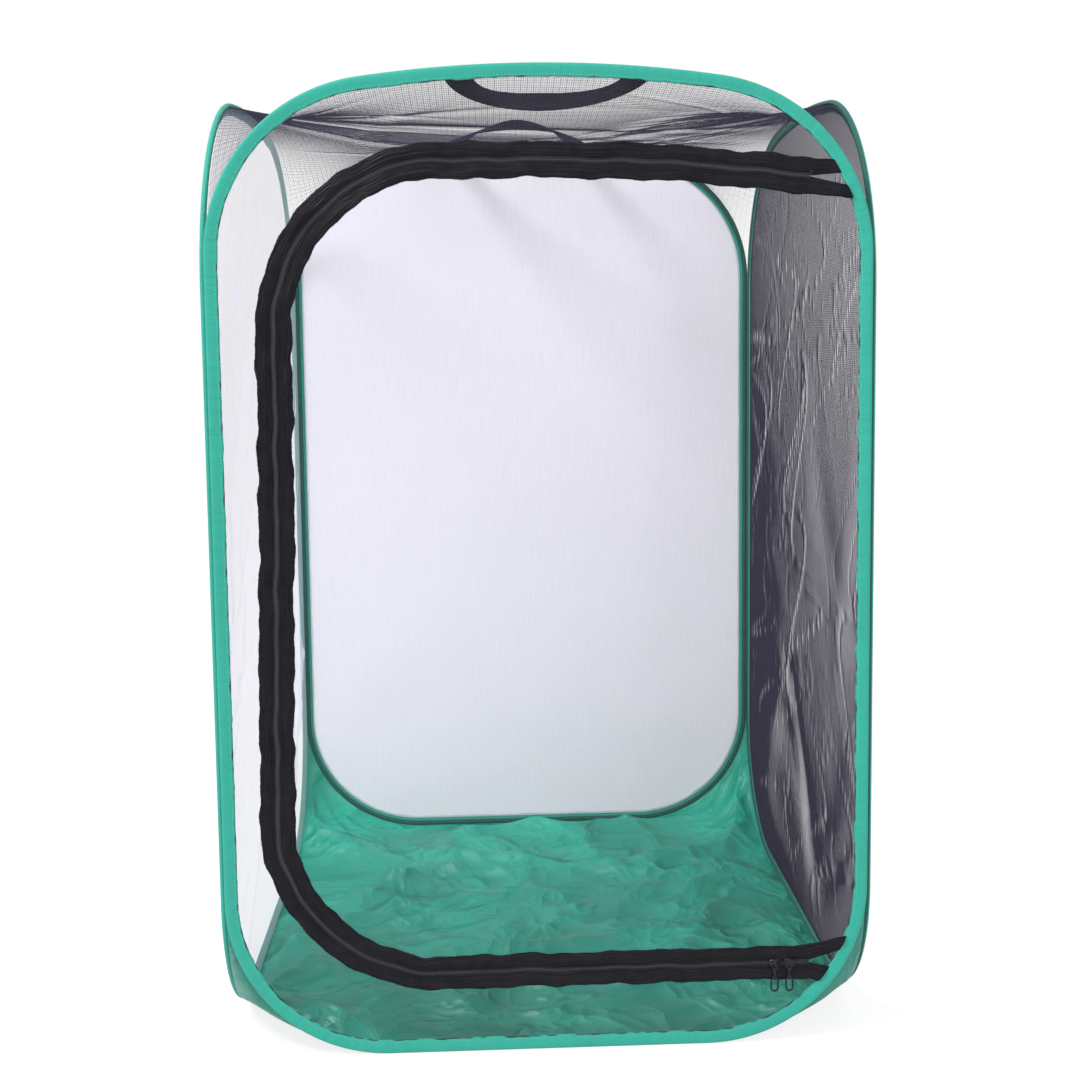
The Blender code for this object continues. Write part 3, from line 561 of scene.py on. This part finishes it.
for side, inset, lift, seed, folds, depth, widths, cover in (
    ("back", back_inset, 0.0, 7, 10, 0.0008, (0.03, 0.07), 0.76),
    ("left", left_inset, -0.0036, 21, 70, 0.0040, (0.005, 0.016), 0.40),
):
    voile = sheer(side + "_white_sheer", voile_white, cover, 0.0006)
    line, _, _ = loop_line(side, inset, 4000)
    along = (loop_half - inset) * np.sin(np.linspace(-math.pi / 2, math.pi / 2, 240))
    along, height = columns_within(line, cage_height / 2, along, 150)
    out = lift + slack(side, along, height, seed, folds, depth, widths, 0.92)
    panel = grid_piece(side + "_voile", onto_wall(side, along, out, height), voile, uv=(along, height))
    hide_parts(side + "_panel")
    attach(panel, wall_body[side])
    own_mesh(panel)


# Black net
# The right wall and the roof are knitted black net of about two millimetre mesh, with a thicker rib
# every third thread in the roof. Each thread is drawn, so the net closes up as it turns edge-on.

net_black = (0.040, 0.036, 0.060)
wall_thread = 0.00034
roof_thread = 0.00027


def threads(name, lines, radius, made, loose=0.0):
    """Three-sided threads along lines of (points, across, share of the radius).

    They grow thicker towards the floor by up to the share loose, as where a net lies in folds.
    """
    points, faces, tips, start = [], [], [], 0
    for line, across, share in lines:
        count = len(line)
        along = unit(np.gradient(line, axis=0))
        other = np.cross(along, across)
        thick = share * radius * (1 + loose * np.clip((0.75 - line[:, 2:]) / 0.6, 0, 1))
        i = np.arange(count - 1)
        for k in range(3):
            angle = 2 * math.pi * k / 3
            points.append(line + thick * (math.cos(angle) * across + math.sin(angle) * other))
            a, b = start + k * count, start + ((k + 1) % 3) * count
            faces.append(np.stack([a + i, b + i, b + i + 1, a + i + 1], axis=1))
        tips += [(start, start + 2 * count, start + count)]
        tips += [(start + count - 1, start + 2 * count - 1, start + 3 * count - 1)]
        start += 3 * count
    return mesh_piece(name, np.concatenate(points), made, np.concatenate(faces), np.array(tips))


net_finish = thread_finish("black_net", net_black, gloss=0.0, sheen=0.0)
net_pitch = 0.0018
net_margin = 0.012
inner_line, _, _ = loop_line("right", panel_inset, 4000)
side_right = in_order(inner_line, inner_line[:, 0] > 0, 1)
outwards = np.array([1.0, 0.0, 0.0])


def net_slack(along, height):
    """The right net's sag: many thin pulled streaks, and a few broad waves low down beside the front."""
    streaks = slack("right", along, height, 33, 80, 0.0008, (0.0025, 0.006), 1.0, (0.03, 0.14))
    waves = slack("right", along, height, 35, 14, 0.0042, (0.025, 0.07), 0.5)
    return streaks + waves * np.clip((0.65 - height) / 0.5, 0, 1)


level_z = np.arange(net_margin, cage_height - net_margin, net_pitch)[:, None]
reach = np.interp(level_z, side_right[:, 1], side_right[:, 0])
course_along = reach * np.linspace(-1, 1, 56)[None, :]
level_z = np.broadcast_to(level_z, course_along.shape)
courses = onto_wall("right", course_along, net_slack(course_along, level_z), level_z)

wale_x = np.arange(-loop_half + net_margin, loop_half - net_margin, net_pitch)
wale_x, wale_z = columns_within(inner_line, cage_height / 2, wale_x, 80)
wales = onto_wall("right", wale_x, net_slack(wale_x, wale_z), wale_z)
for name, lines in (("right_net_courses", courses), ("right_net_wales", wales)):
    lines = [(line, outwards, 1.0) for line in lines]
    net = threads(name, lines, wall_thread / math.sqrt(3), net_finish, 0.22)
    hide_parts("right_panel")
    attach(net, "right_wall")
    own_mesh(net)


def roof_field(cells):
    """Heights of the taut roof over the square between the loops.

    Each edge follows its loop's crown, a little below the crest. Inside, every height is brought
    to the mean of its four neighbours until nothing moves, which is how a stretched skin lies.
    """
    half = half_width - 0.0020
    drop = 0.0034
    shares = np.linspace(-1, 1, cells + 1)
    edges = {}
    for side in ("front", "left"):
        line, _, _ = loop_line(side, drop, 4000)
        upper = in_order(line, (line[:, 1] >= top_corner(side)[1]) & (line[:, 0] >= 0), 0)
        edges[side] = np.interp(np.abs(shares) * (loop_half - drop), *upper.T)
    field = np.full((cells + 1, cells + 1), edges["front"].mean())
    field[:, 0] = field[:, -1] = edges["front"]
    field[0, :] = field[-1, :] = edges["left"]
    for _ in range(6000):
        beside = field[:-2, 1:-1] + field[2:, 1:-1] + field[1:-1, :-2] + field[1:-1, 2:]
        field[1:-1, 1:-1] = beside / 4
    return half, field


def read_field(field, half, x, y):
    """The field's value at a place, from the four grid values round it."""
    cells = field.shape[0] - 1
    u = np.clip((x / half + 1) / 2 * cells, 0, cells - 1e-9)
    v = np.clip((y / half + 1) / 2 * cells, 0, cells - 1e-9)
    i, j = u.astype(int), v.astype(int)
    a, b = u - i, v - j
    near = field[i, j] * (1 - b) + field[i, j + 1] * b
    far = field[i + 1, j] * (1 - b) + field[i + 1, j + 1] * b
    return near * (1 - a) + far * a


roof_half, roof_heights = roof_field(96)
roof_sag = 0.015


def over_crease(x, y, turn):
    """How far places lie across a crease and along it, from its middle."""
    return x * math.sin(turn) + y * math.cos(turn), x * math.cos(turn) - y * math.sin(turn)


def from_edge(x, y, width):
    """A share that rises from nothing at the square's edge to one at width inside it."""
    return np.clip(np.minimum(roof_half - np.abs(x), roof_half - np.abs(y)) / width, 0, 1)


def roof_height(x, y):
    """The taut roof, with long soft creases that bow across it and fade out at its seams."""
    height = read_field(roof_heights, roof_half, x, y)
    creases = (
        (0.05, 0.02, 0.5, 0.35, 0.014, 0.0016),
        (-0.10, 0.10, -0.7, 0.30, 0.016, 0.0018),
        (0.12, -0.10, 1.1, 0.28, 0.012, -0.0014),
        (-0.05, -0.08, -0.2, 0.25, 0.018, 0.0020),
        (0.00, 0.18, 0.1, 0.35, 0.014, 0.0014),
        (-0.18, 0.00, 1.4, 0.22, 0.016, -0.0014),
        (-0.15, -0.15, 0.35, 0.20, 0.010, 0.0012),
        (0.17, -0.02, -0.45, 0.24, 0.012, 0.0014),
    )
    total = np.zeros_like(height)
    dice = np.random.default_rng(77)
    fine = []
    for _ in range(26):
        cx, cy = dice.uniform(-0.24, 0.24, 2)
        turn, reach = dice.uniform(-0.9, 0.9), dice.uniform(0.08, 0.2)
        fine.append((cx, cy, turn, reach, 0.005, dice.uniform(-0.0009, 0.0009)))
    for cx, cy, turn, reach, width, lift in (*creases, *fine):
        across, along = over_crease(x - cx, y - cy, turn)
        bow = 0.9 * along**2
        total += lift * np.exp(-(((across - bow) / width) ** 2) - (along / reach) ** 2)
    sag = roof_sag * (1 - (x / roof_half) ** 2) * (1 - (y / roof_half) ** 2)
    return height + total * from_edge(x, y, 0.05) - sag


roof_pitch = 0.0020
quarter_lines = {side: [] for side in wall_body}
for level_at in np.arange(-roof_half + roof_pitch / 2, roof_half, roof_pitch):
    turn_at = abs(level_at)
    rib = 1.5 if round((level_at + roof_half) / roof_pitch - 0.5) % 3 == 0 else 0.8
    middle = ("front", "left") if level_at < 0 else ("back", "right")
    for start, end, quarters in (
        (-roof_half, -turn_at, ("left", "front")),
        (-turn_at, turn_at, middle),
        (turn_at, roof_half, ("right", "back")),
    ):
        if end - start < 0.002:
            continue
        run = np.linspace(start, end, max(3, int((end - start) / 0.014)))
        fixed = np.full_like(run, level_at)
        for quarter, (x, y) in zip(quarters, ((run, fixed), (fixed, run))):
            line = np.stack([x, y, roof_height(x, y)], axis=1)
            quarter_lines[quarter].append((line, np.array([0.0, 0.0, 1.0]), rib))

for side in wall_body:
    quarter = threads(side + "_roof_net", quarter_lines[side], roof_thread / math.sqrt(3), net_finish)
    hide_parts("roof_panel")
    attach(quarter, wall_body[side])
    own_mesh(quarter)


# Floor cloth
# Green coated nylon, sewn to the feet of the four loops and turned up into their rounded corners.
# It was folded when packed, so it lies in creases.

floor_green = (0.020, 0.335, 0.232)
floor_cells = 230
crease_height = 0.0125


def floor_height(x, y):
    """Height of the floor cloth: sharp creases, and corners that rise as both loops' rises multiplied."""

    def rise(place):
        past = np.abs(place) - (roof_half - bottom_corner_radius)
        return 1 - np.sqrt(1 - np.clip(past / bottom_corner_radius, 0, 1) ** 2)

    dice = np.random.default_rng(11)
    creases = np.zeros_like(x)
    for number in range(210):
        cx, cy = dice.uniform(-0.28, 0.28, 2)
        turn = dice.uniform(-0.35, 0.35) - 2.2 * cx if number % 3 else dice.uniform(0, math.pi)
        across, along = over_crease(x - cx, y - cy, turn)
        width, reach = dice.uniform(0.004, 0.016), dice.uniform(0.03, 0.15)
        bow = dice.uniform(-2.5, 2.5) * along**2
        ridge = np.exp(-np.abs((across - bow) / width) ** 1.2 - (along / reach) ** 2)
        creases += dice.uniform(0.2, 1.0) * width / 0.016 * ridge
    creases = crease_height * creases * from_edge(x, y, 0.02)
    return 0.0006 + bottom_corner_radius * rise(x) * rise(y) + creases


def crumpled(name, colour):
    """Coated cloth: crumples from ridged noise, painted lighter on their ridges as crease wear and painted
    highlight, and painted shade that darkens it towards the front.
    """
    made = woven(name, colour, 0.0005, 0.38, 0.00006, shade=0.14, sheen=0.0, gloss=0.45)
    place, shader = node_of(made, "TEX_COORD"), made.node_tree.nodes["Principled BSDF"]
    cloth = shader.inputs["Base Color"].links[0].from_node
    ridges = add_node(made, "TexNoise")
    ridges.noise_type = "RIDGED_MULTIFRACTAL"
    adjust(ridges, Scale=6.5, Detail=3, Roughness=0.6, Distortion=0.4, Offset=0.9, Gain=2.0)
    add_relief(made, ridges, 0.8, 0.015)
    parts = add_node(made, "SeparateXYZ")
    # Painted shade and light: the colour is scaled from 0.58 at the front to 1.30 at the back, by the
    # object's Y.
    depth = add_node(made, "MapRange", From_Min=-0.3, From_Max=0.3, To_Min=0.58, To_Max=1.30)
    # The crease ridges are painted lighter: partly crease wear, partly painted highlight.
    crease_wear_and_highlight = add_node(made, "MapRange", From_Min=0.4, From_Max=1.5, To_Min=0.88, To_Max=1.22)
    both, shaded = add_node(made, "Math"), add_node(made, "VectorMath")
    both.operation, shaded.operation = "MULTIPLY", "SCALE"
    connect(
        made,
        (place, "Object", ridges, "Vector"),
        (place, "Object", parts, 0),
        (parts, "Y", depth, "Value"),
        (ridges, "Fac", crease_wear_and_highlight, "Value"),
        (depth, "Result", both, 0),
        (crease_wear_and_highlight, "Result", both, 1),
        (cloth, 2, shaded, 0),
        (both, 0, shaded, "Scale"),
        (shaded, 0, shader, "Base Color"),
    )
    return made


nylon = crumpled("green_nylon", floor_green)
shares = np.sin(np.linspace(-math.pi / 2, math.pi / 2, floor_cells + 1))
floor_x, floor_y = np.meshgrid(roof_half * shares, roof_half * shares, indexing="ij")
floor_places = np.stack([floor_x, floor_y, floor_height(floor_x, floor_y)], axis=-1).reshape(-1, 3)
cell_i, cell_j = np.meshgrid(np.arange(floor_cells), np.arange(floor_cells), indexing="ij")
wide = floor_cells + 1
corner = (cell_i * wide + cell_j).reshape(-1, 1) + np.array([0, wide, wide + 1, 1])
rising = ((cell_i < floor_cells / 2) == (cell_j < floor_cells / 2)).reshape(-1, 1)
first = np.where(rising, corner[:, [0, 1, 2]], corner[:, [0, 1, 3]])
second = np.where(rising, corner[:, [0, 2, 3]], corner[:, [1, 2, 3]])
floor_faces = np.concatenate([first, second])
middle_x, middle_y, _ = floor_places[floor_faces].mean(axis=1).T
beside = np.abs(middle_x) >= np.abs(middle_y)
for side in ("front", "back", "left", "right"):
    out_x, out_y, _ = wall_direction(side, 0.0, 1.0, 0.0)
    chosen = (middle_x * out_x + middle_y * out_y > 0) & (beside == (out_x != 0))
    used, faces = np.unique(floor_faces[chosen], return_inverse=True)
    faces = faces.reshape(-1, 3)
    cloth = mesh_piece(side + "_floor_cloth", floor_places[used], nylon, faces)
    layer = cloth.data.uv_layers.new(name="cloth")
    layer.data.foreach_set("uv", floor_places[used][faces.ravel(), :2].reshape(-1).astype(np.float32))
    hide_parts("floor_panel")
    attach(cloth, wall_body[side])
    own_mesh(cloth)


# Zipper line
# The zipper lies on a C: along the foot, up the left side and over the top, open to the right,
# where the cloth beside it is left whole and is the door's hinge.

zipper_left = -0.2445
zipper_bottom = 0.0770
zipper_top = 0.8250
zipper_top_radius = 1.750
zipper_upper_corner = 0.150
zipper_lower_corner = 0.135
coil_end = 0.2400
hinge_x = 0.1920
hinge_clearance = 0.0090
cloth_setback = 0.0070
tape_inner = 0.0004
tape_outer = 0.0160
tape_out = 0.0006
tape_thickness = 0.0006
tape_width = 0.0156
tape_lift = 0.0042
tape_seam = 0.0045


def pulled(place):
    """Places after the cloth has drawn the zipper a few millimetres out of true.

    The upright goes left at its foot and right above, the top run goes down and the foot's left
    end goes up. The straight run that the sliders use stays where it is.
    """
    x, z = place[:, 0], place[:, 1]
    leftness = np.clip((-0.02 - x) / 0.16, 0, 1)
    heights = (0.077, 0.20, 0.35, 0.50, 0.62, 0.72, 0.83)
    lean = np.interp(z, heights, (-0.002, -0.003, -0.0005, 0.0040, 0.0055, 0.0065, 0.0060))
    highness = np.clip((z - 0.60) / 0.18, 0, 1)
    corner = np.clip((-0.115 - x) / 0.09, 0, 1) * np.clip((0.30 - z) / 0.15, 0, 1)
    return np.stack([x + lean * leftness, z - 0.0045 * highness + 0.008 * corner], axis=1)


def zipper_line(offset, end, count):
    """The C shifted outwards by offset, with both ends at x = end.

    Gives count places (x, z), their outward normals and the run from the left end of the foot.
    """
    quarter = math.pi / 2
    low, high = zipper_bottom - offset, zipper_top
    lower_centre = (zipper_left + zipper_lower_corner, zipper_bottom + zipper_lower_corner)
    upper_centre = (zipper_left + zipper_upper_corner, high - zipper_upper_corner)
    radius = zipper_top_radius + offset
    lean = math.asin(end / radius)
    knots, turns = [np.array([[end, low]])], [np.array([-quarter])]
    for centre, size, start, stop in (
        (lower_centre, zipper_lower_corner + offset, -quarter, -2 * quarter),
        (upper_centre, zipper_upper_corner + offset, -2 * quarter, -3 * quarter),
        ((0, high - zipper_top_radius), radius, -3 * quarter, -3 * quarter - lean),
    ):
        angle = np.linspace(start, stop, 200)
        knots.append(np.stack([centre[0] + size * np.cos(angle), centre[1] + size * np.sin(angle)], axis=1))
        turns.append(angle)
    place, turn, at = read_off(np.concatenate(knots), np.concatenate(turns), count, True)
    outward = np.stack([np.cos(turn), np.sin(turn)], axis=1)
    return pulled(place), outward, at - (end - lower_centre[0])


# Front and door
# Clear voile, so fine that it hardly shows. The door is cut out of it on three sides and hangs on
# the uncut strip at the right, its hinge.

film = sheer("clear_sheer", (0.92, 0.92, 0.96), 0.012, 0.0006)
adjust(film.node_tree.nodes["Principled BSDF"], Sheen_Weight=0.0, Specular_IOR_Level=0.0)


def film_sag(along, height):
    """The clear cloth's sag, one field for the door and what lies round it."""
    return slack("front", along, height, 61, 20, 0.0015, (0.01, 0.04), 0.8) - 0.0002


door_cut, _, _ = zipper_line(-cloth_setback, hinge_x + hinge_clearance, 800)
cut_left = door_cut[np.argmin(door_cut[:, 0])]
share = (1 - np.cos(np.linspace(0, math.pi / 2, 110))) * (door_cut[:, 0].max() - cut_left[0])
along, height = columns_within(door_cut, cut_left[1], cut_left[0] + share, 140)
out = film_sag(along, height)
door_cloth = grid_piece("door_voile", onto_wall("front", along, out, height), film, uv=(along, height))
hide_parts("door_panel")
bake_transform(door_cloth)

centre_z = 0.45
rim, _, _ = loop_line("front", panel_inset, 4000)
edge_of_cut, _, _ = zipper_line(cloth_setback, hinge_x + hinge_clearance, 1600)
hinge_z = np.linspace(edge_of_cut[-1, 1], edge_of_cut[0, 1], 400)
hinge_side = np.stack([np.full(400, hinge_x + hinge_clearance), hinge_z], axis=1)
inner_edge = np.concatenate([edge_of_cut, hinge_side[1:-1]])
angle = np.linspace(0, 2 * math.pi, 720)
reaches = []
for edge_line in (inner_edge, rim):
    turn = np.arctan2(edge_line[:, 1] - centre_z, edge_line[:, 0]) % (2 * math.pi)
    order = np.argsort(turn)
    far = np.hypot(edge_line[:, 0], edge_line[:, 1] - centre_z)
    reaches.append(np.interp(angle, turn[order], far[order], period=2 * math.pi))
ring = reaches[0][:, None] + np.linspace(0, 1, 24)[None, :] * (reaches[1] - reaches[0])[:, None]
along, height = ring * np.cos(angle)[:, None], centre_z + ring * np.sin(angle)[:, None]
out = film_sag(along, height)
front_cloth = grid_piece("front_voile", onto_wall("front", along, out, height), film, uv=(along, height))
front_cloth.data.flip_normals()
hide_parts("front_panel")
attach(front_cloth, "front_wall")


# Zipper
# Two black woven tapes with a nylon coil sewn along the edge of each. The tapes are longer than
# the cloth they were sewn to, so they pucker, and their ends run on to the rim at the right.

tape_black = (0.0085, 0.0080, 0.0110)
coil_black = (0.032, 0.031, 0.036)
coil_pitch = 0.0015
coil_out = 0.0016
zipper_run = 1.7
wander_width = 0.0011
cord_height = 0.00045
tape_curl = 0.0012
tape_stitch_pitch = 0.0026
rim_inset = 0.0108
end_stations = 13


def ribbed(name, colour):
    """Tape with cords woven in along its length: noise drawn out along the run, as a second bump."""
    made = woven(name, colour, 0.0011, 0.30, 0.00026, shade=0.9, sheen=0.0, gloss=0.13)
    # The strong patchy tone set here is painted sheen: the tape's colour is mottled lighter and darker in
    # place of glints.
    adjust(node_of(made, "TEX_NOISE"), Scale=95)
    add_relief(made, drawn_out(made, (16, 460, 1)), 0.9, 0.0034)
    return made


tape_cloth = ribbed("black_tape", tape_black)
coil_finish = thread_finish("black_coil", coil_black, gloss=0.6, sheen=0.0)
tape_thread = thread_finish("black_thread", (0.010, 0.009, 0.012), gloss=0.3, sheen=0.0)
zipper_length = float(np.ptp(zipper_line(0.0, coil_end, 2)[2]))
rim_edge, _, _ = loop_line("front", rim_inset, 4000)
rim_edge = in_order(rim_edge, rim_edge[:, 0] > 0, 1)


def wander(at):
    """How far the sewn zipper strays sideways from its line, an uneven wave along it."""
    return wander_width * ripple(at, zipper_run, (0.110, 0.062, 0.043), 81)


def swell(at, seed):
    """How far a tape stands off the cloth, between nothing and one, an uneven wave along it."""
    return 0.5 + 0.5 * ripple(at, zipper_run, (0.131, 0.083, 0.047), seed)


def tape_edge(offset, bottom_height, top_height):
    """One edge of a tape from rim to rim: the C, and at each end a straight stretch to the rim."""
    place, normal, at = zipper_line(0.0, coil_end, 1100)
    place = place + (offset + wander(at))[:, None] * normal
    shares = np.linspace(0, 1, end_stations)[1:]
    ends = []
    for height, start in ((bottom_height, place[0]), (top_height, place[-1])):
        end = np.array([np.interp(height, rim_edge[:, 1], rim_edge[:, 0]), height])
        ends.append(start + shares[:, None] * (end - start))
    tail = np.hypot(*(ends[0][-1] - place[0])) * shares
    run = np.concatenate([at[0] - tail[::-1], at, at[-1] + tail])
    return np.concatenate([ends[0][::-1], place, ends[1]]), run


for name, sign, bottoms, tops, seed in (
    ("outer", 1, (0.0715, 0.0580), (0.8070, 0.8195), 91),
    ("door", -1, (0.0875, 0.1010), (0.7965, 0.7840), 95),
):
    near, at = tape_edge(sign * tape_inner, bottoms[0], tops[0])
    far, _ = tape_edge(sign * tape_outer, bottoms[1], tops[1])
    ragged = 0.09 * ripple(at, zipper_run, (0.142, 0.071, 0.038, 0.023), seed + 1)
    ragged = ragged + 0.016 * ripple(at, zipper_run, (0.0071, 0.0052, 0.0043), seed + 3)
    shares = np.linspace(0, 1, 25)
    cords = cord_height * sum(np.exp(-(((shares - spot) / 0.035) ** 2)) for spot in (0.22, 0.36, 0.90))
    shares = np.concatenate([shares, shares[::6][::-1]])
    faces_out = np.concatenate([tape_thickness + cords, np.zeros(5)])
    reach = shares[None, :] * (1 + ragged[:, None] * shares[None, :])
    x, z = moved(near, reach, far - near)
    standing = tape_lift * swell(at, seed)[:, None] * np.sin(math.pi * shares**1.4)[None, :]
    curl = tape_curl * swell(at, seed + 2)[:, None] * (shares**3)[None, :]
    out = tape_out + faces_out[None, :] + standing + curl
    uv = np.meshgrid(at, np.concatenate([tape_width * shares, [-0.001]]), indexing="ij")
    tape = grid_piece(name + "_tape", onto_wall("front", x, out, z), tape_cloth, (False, True), uv)
    close_ends(tape)

    middle, outside, at = zipper_line(0.0, coil_end, round(zipper_length / tape_stitch_pitch))
    middle = middle + (sign * (tape_inner + tape_seam) + wander(at))[:, None] * outside
    along = unit(np.gradient(middle, axis=0))
    bulge = tape_lift * swell(at, seed) * math.sin(math.pi * (tape_seam / tape_width) ** 1.4)
    spots = onto_wall("front", middle[:, 0], tape_out + tape_thickness + 0.0001 + bulge, middle[:, 1])
    ways = wall_direction("front", along[:, 0], 0.0, along[:, 1])
    outward = np.tile([0.0, -1.0, 0.0], (len(spots), 1))
    seam = stitches(name + "_tape_stitches", spots, ways, outward, 0.0019, 0.00022, tape_thread)

    middle, outside, at = zipper_line(0.0, coil_end, round(zipper_length / coil_pitch))
    if sign < 0:
        middle, outside, at = middle[:-1] + np.diff(middle, axis=0) / 2, outside[:-1], at[:-1]
    middle = middle + wander(at)[:, None] * outside
    along = np.stack([-outside[:, 1], outside[:, 0]], axis=1)
    lengthwise = np.array([-0.0006, 0.0002, 0.0016, 0.0027])
    thick = np.array([0.00030, 0.00040, 0.00034, 0.00022])
    turn = np.linspace(0, 2 * math.pi, 6, endpoint=False)
    legs = middle[:, None, None] + sign * lengthwise[:, None, None] * outside[:, None, None]
    legs = legs + (thick[:, None] * np.cos(turn))[..., None] * along[:, None, None]
    teeth = onto_wall("front", legs[..., 0], coil_out + 2.0 * thick[:, None] * np.sin(turn), legs[..., 1])
    count, rings, sides = teeth.shape[:3]
    k = np.arange(sides)
    a, b = (sides * np.arange(rings - 1)[:, None] + ring for ring in (k, (k + 1) % sides))
    quads = np.stack([a, b, b + sides, a + sides], axis=-1).reshape(-1, 4)
    caps = np.array([(0, 5, 4, 3), (0, 3, 2, 1), (18, 19, 20, 21), (18, 21, 22, 23)])
    one_turn = np.concatenate([quads, caps])
    quads = (one_turn[None] + (rings * sides * np.arange(count))[:, None, None]).reshape(-1, 4)
    coil = mesh_piece(name + "_coil_turns", teeth.reshape(-1, 3), coil_finish, quads)
    if sign < 0:
        coil.data.flip_normals()
    if sign > 0:
        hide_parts("outer_zipper_tape")
        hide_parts("outer_coil")
        for piece in (tape, seam, coil):
            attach(piece, "front_wall")
    else:
        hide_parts("door_zipper_tape", "upper_tape_tail", "lower_tape_tail")
        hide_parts("door_coil", "upper_coil_end", "lower_coil_end")
        for piece in (tape, seam, coil):
            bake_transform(piece)


# Sliders, pulls and end stops
# Die-cast zinc with rounded edges, in black enamel. The sliders run on the coils, each with a pull
# that hangs from its bridge, and the stops are crimped on the tapes past the coils' ends.

enamel, enamel_shader = new_material(
    "black_enamel", Base_Color=(0.006, 0.005, 0.006, 1), Specular_IOR_Level=0.35
)
add_grain(enamel, enamel_shader, 0.22, 0.42, Scale=1200)

for name, body in (
    ("upper_end_stop", "front_wall"),
    ("lower_end_stop", "front_wall"),
    ("slider_a", "first_slider"),
    ("slider_b", "second_slider"),
    ("pull_a", "first_pull"),
    ("pull_b", "second_pull"),
):
    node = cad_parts[name]
    shape = bmesh.new()
    shape.from_mesh(node.data)
    shape.transform(node.matrix_world)
    bmesh.ops.remove_doubles(shape, verts=shape.verts, dist=0.00001)
    bmesh.ops.dissolve_limit(shape, angle_limit=math.radians(2), verts=shape.verts, edges=shape.edges)
    whole = [edge for edge in shape.edges if edge.is_manifold]
    sharp = [edge for edge in whole if edge.calc_face_angle() > math.radians(25)]
    bmesh.ops.bevel(shape, geom=sharp, offset=0.00016, segments=2, affect="EDGES", clamp_overlap=True)
    rounded = bpy.data.meshes.new(name + "_casting")
    shape.to_mesh(rounded)
    shape.free()
    rounded.shade_smooth()
    rounded.set_sharp_from_angle(angle=math.radians(50))
    rounded.materials.append(enamel)
    casting = put_in_scene(rounded.name, rounded)
    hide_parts(name)
    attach(casting, body)


# Handles
# Black ribbed webbing sewn down behind the crest of the front and back rims, long enough to meet
# over the middle of the roof when the cage is carried.

handle_half_span = 0.0950
handle_root = 0.0036
handle_tuck = 0.0075
handle_reach = 0.2285
handle_tilt = math.radians(33)
handle_shift = 0.0095
handle_width = 0.0260
handle_thickness = 0.0014
handle_far_height = 0.8970
handle_folded_out = 0.0055
webbing_black = (0.012, 0.011, 0.016)
webbing = woven("black_webbing", webbing_black, 0.0016, 0.80, 0.0004, shade=0.25, sheen=0.0, gloss=0.1)

angle = np.linspace(0, math.pi, 120)
swing = np.sin(angle)
x = handle_shift - handle_half_span * np.cos(angle)
y = handle_root + (handle_reach - handle_root) * swing
tilt = handle_tilt * swing**2
forwards = unit(np.stack([handle_half_span * swing, handle_reach * np.cos(angle), 0 * angle], axis=1))
sideways = np.stack([forwards[:, 1] * np.cos(tilt), -forwards[:, 0] * np.cos(tilt), np.sin(tilt)], axis=1)
upwards = np.cross(sideways, forwards)
upwards *= np.sign(upwards[:, 2:])
outer_edge = np.stack([x, y, 0 * x], axis=1)
width_shares = np.concatenate([np.linspace(0, 1, 9), np.linspace(1, 0, 9)])
lifts = handle_thickness * np.concatenate([np.zeros(9), np.ones(9)])
lifts[[0, 8]] += 0.0003
lifts[[9, 17]] -= 0.0003
strap = outer_edge[:, None, :] + (handle_width * width_shares)[None, :, None] * sideways[:, None, :]
crest = cage_height - crown_radius + np.sqrt(crown_radius**2 - strap[..., 0] ** 2)
rise = np.clip(strap[..., 1] / 0.030, 0, 1)
tuck = handle_tuck * (1 - np.clip((strap[..., 1] - handle_root) / 0.022, 0, 1)) ** 2
strap[..., 2] += crest + (handle_far_height - crest) * rise * (2 - rise) - tuck
strap = strap + lifts[None, :, None] * upwards[:, None, :]
run = run_along(x, y)
uv = np.meshgrid(run, np.concatenate([handle_width * width_shares, [-0.0014]]), indexing="ij")
for name, side, body in (("front_handle", "front", "front_strap"), ("rear_handle", "back", "rear_strap")):
    places = onto_wall(side, strap[..., 0], -strap[..., 1], strap[..., 2])
    webbing_loop = grid_piece(name + "_webbing", places, webbing, (False, True), uv)
    close_ends(webbing_loop)
    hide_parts(name)
    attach(webbing_loop, body)
    stowed = onto_wall(side, 0.0, handle_folded_out, 0.0).tolist()
    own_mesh(webbing_loop)
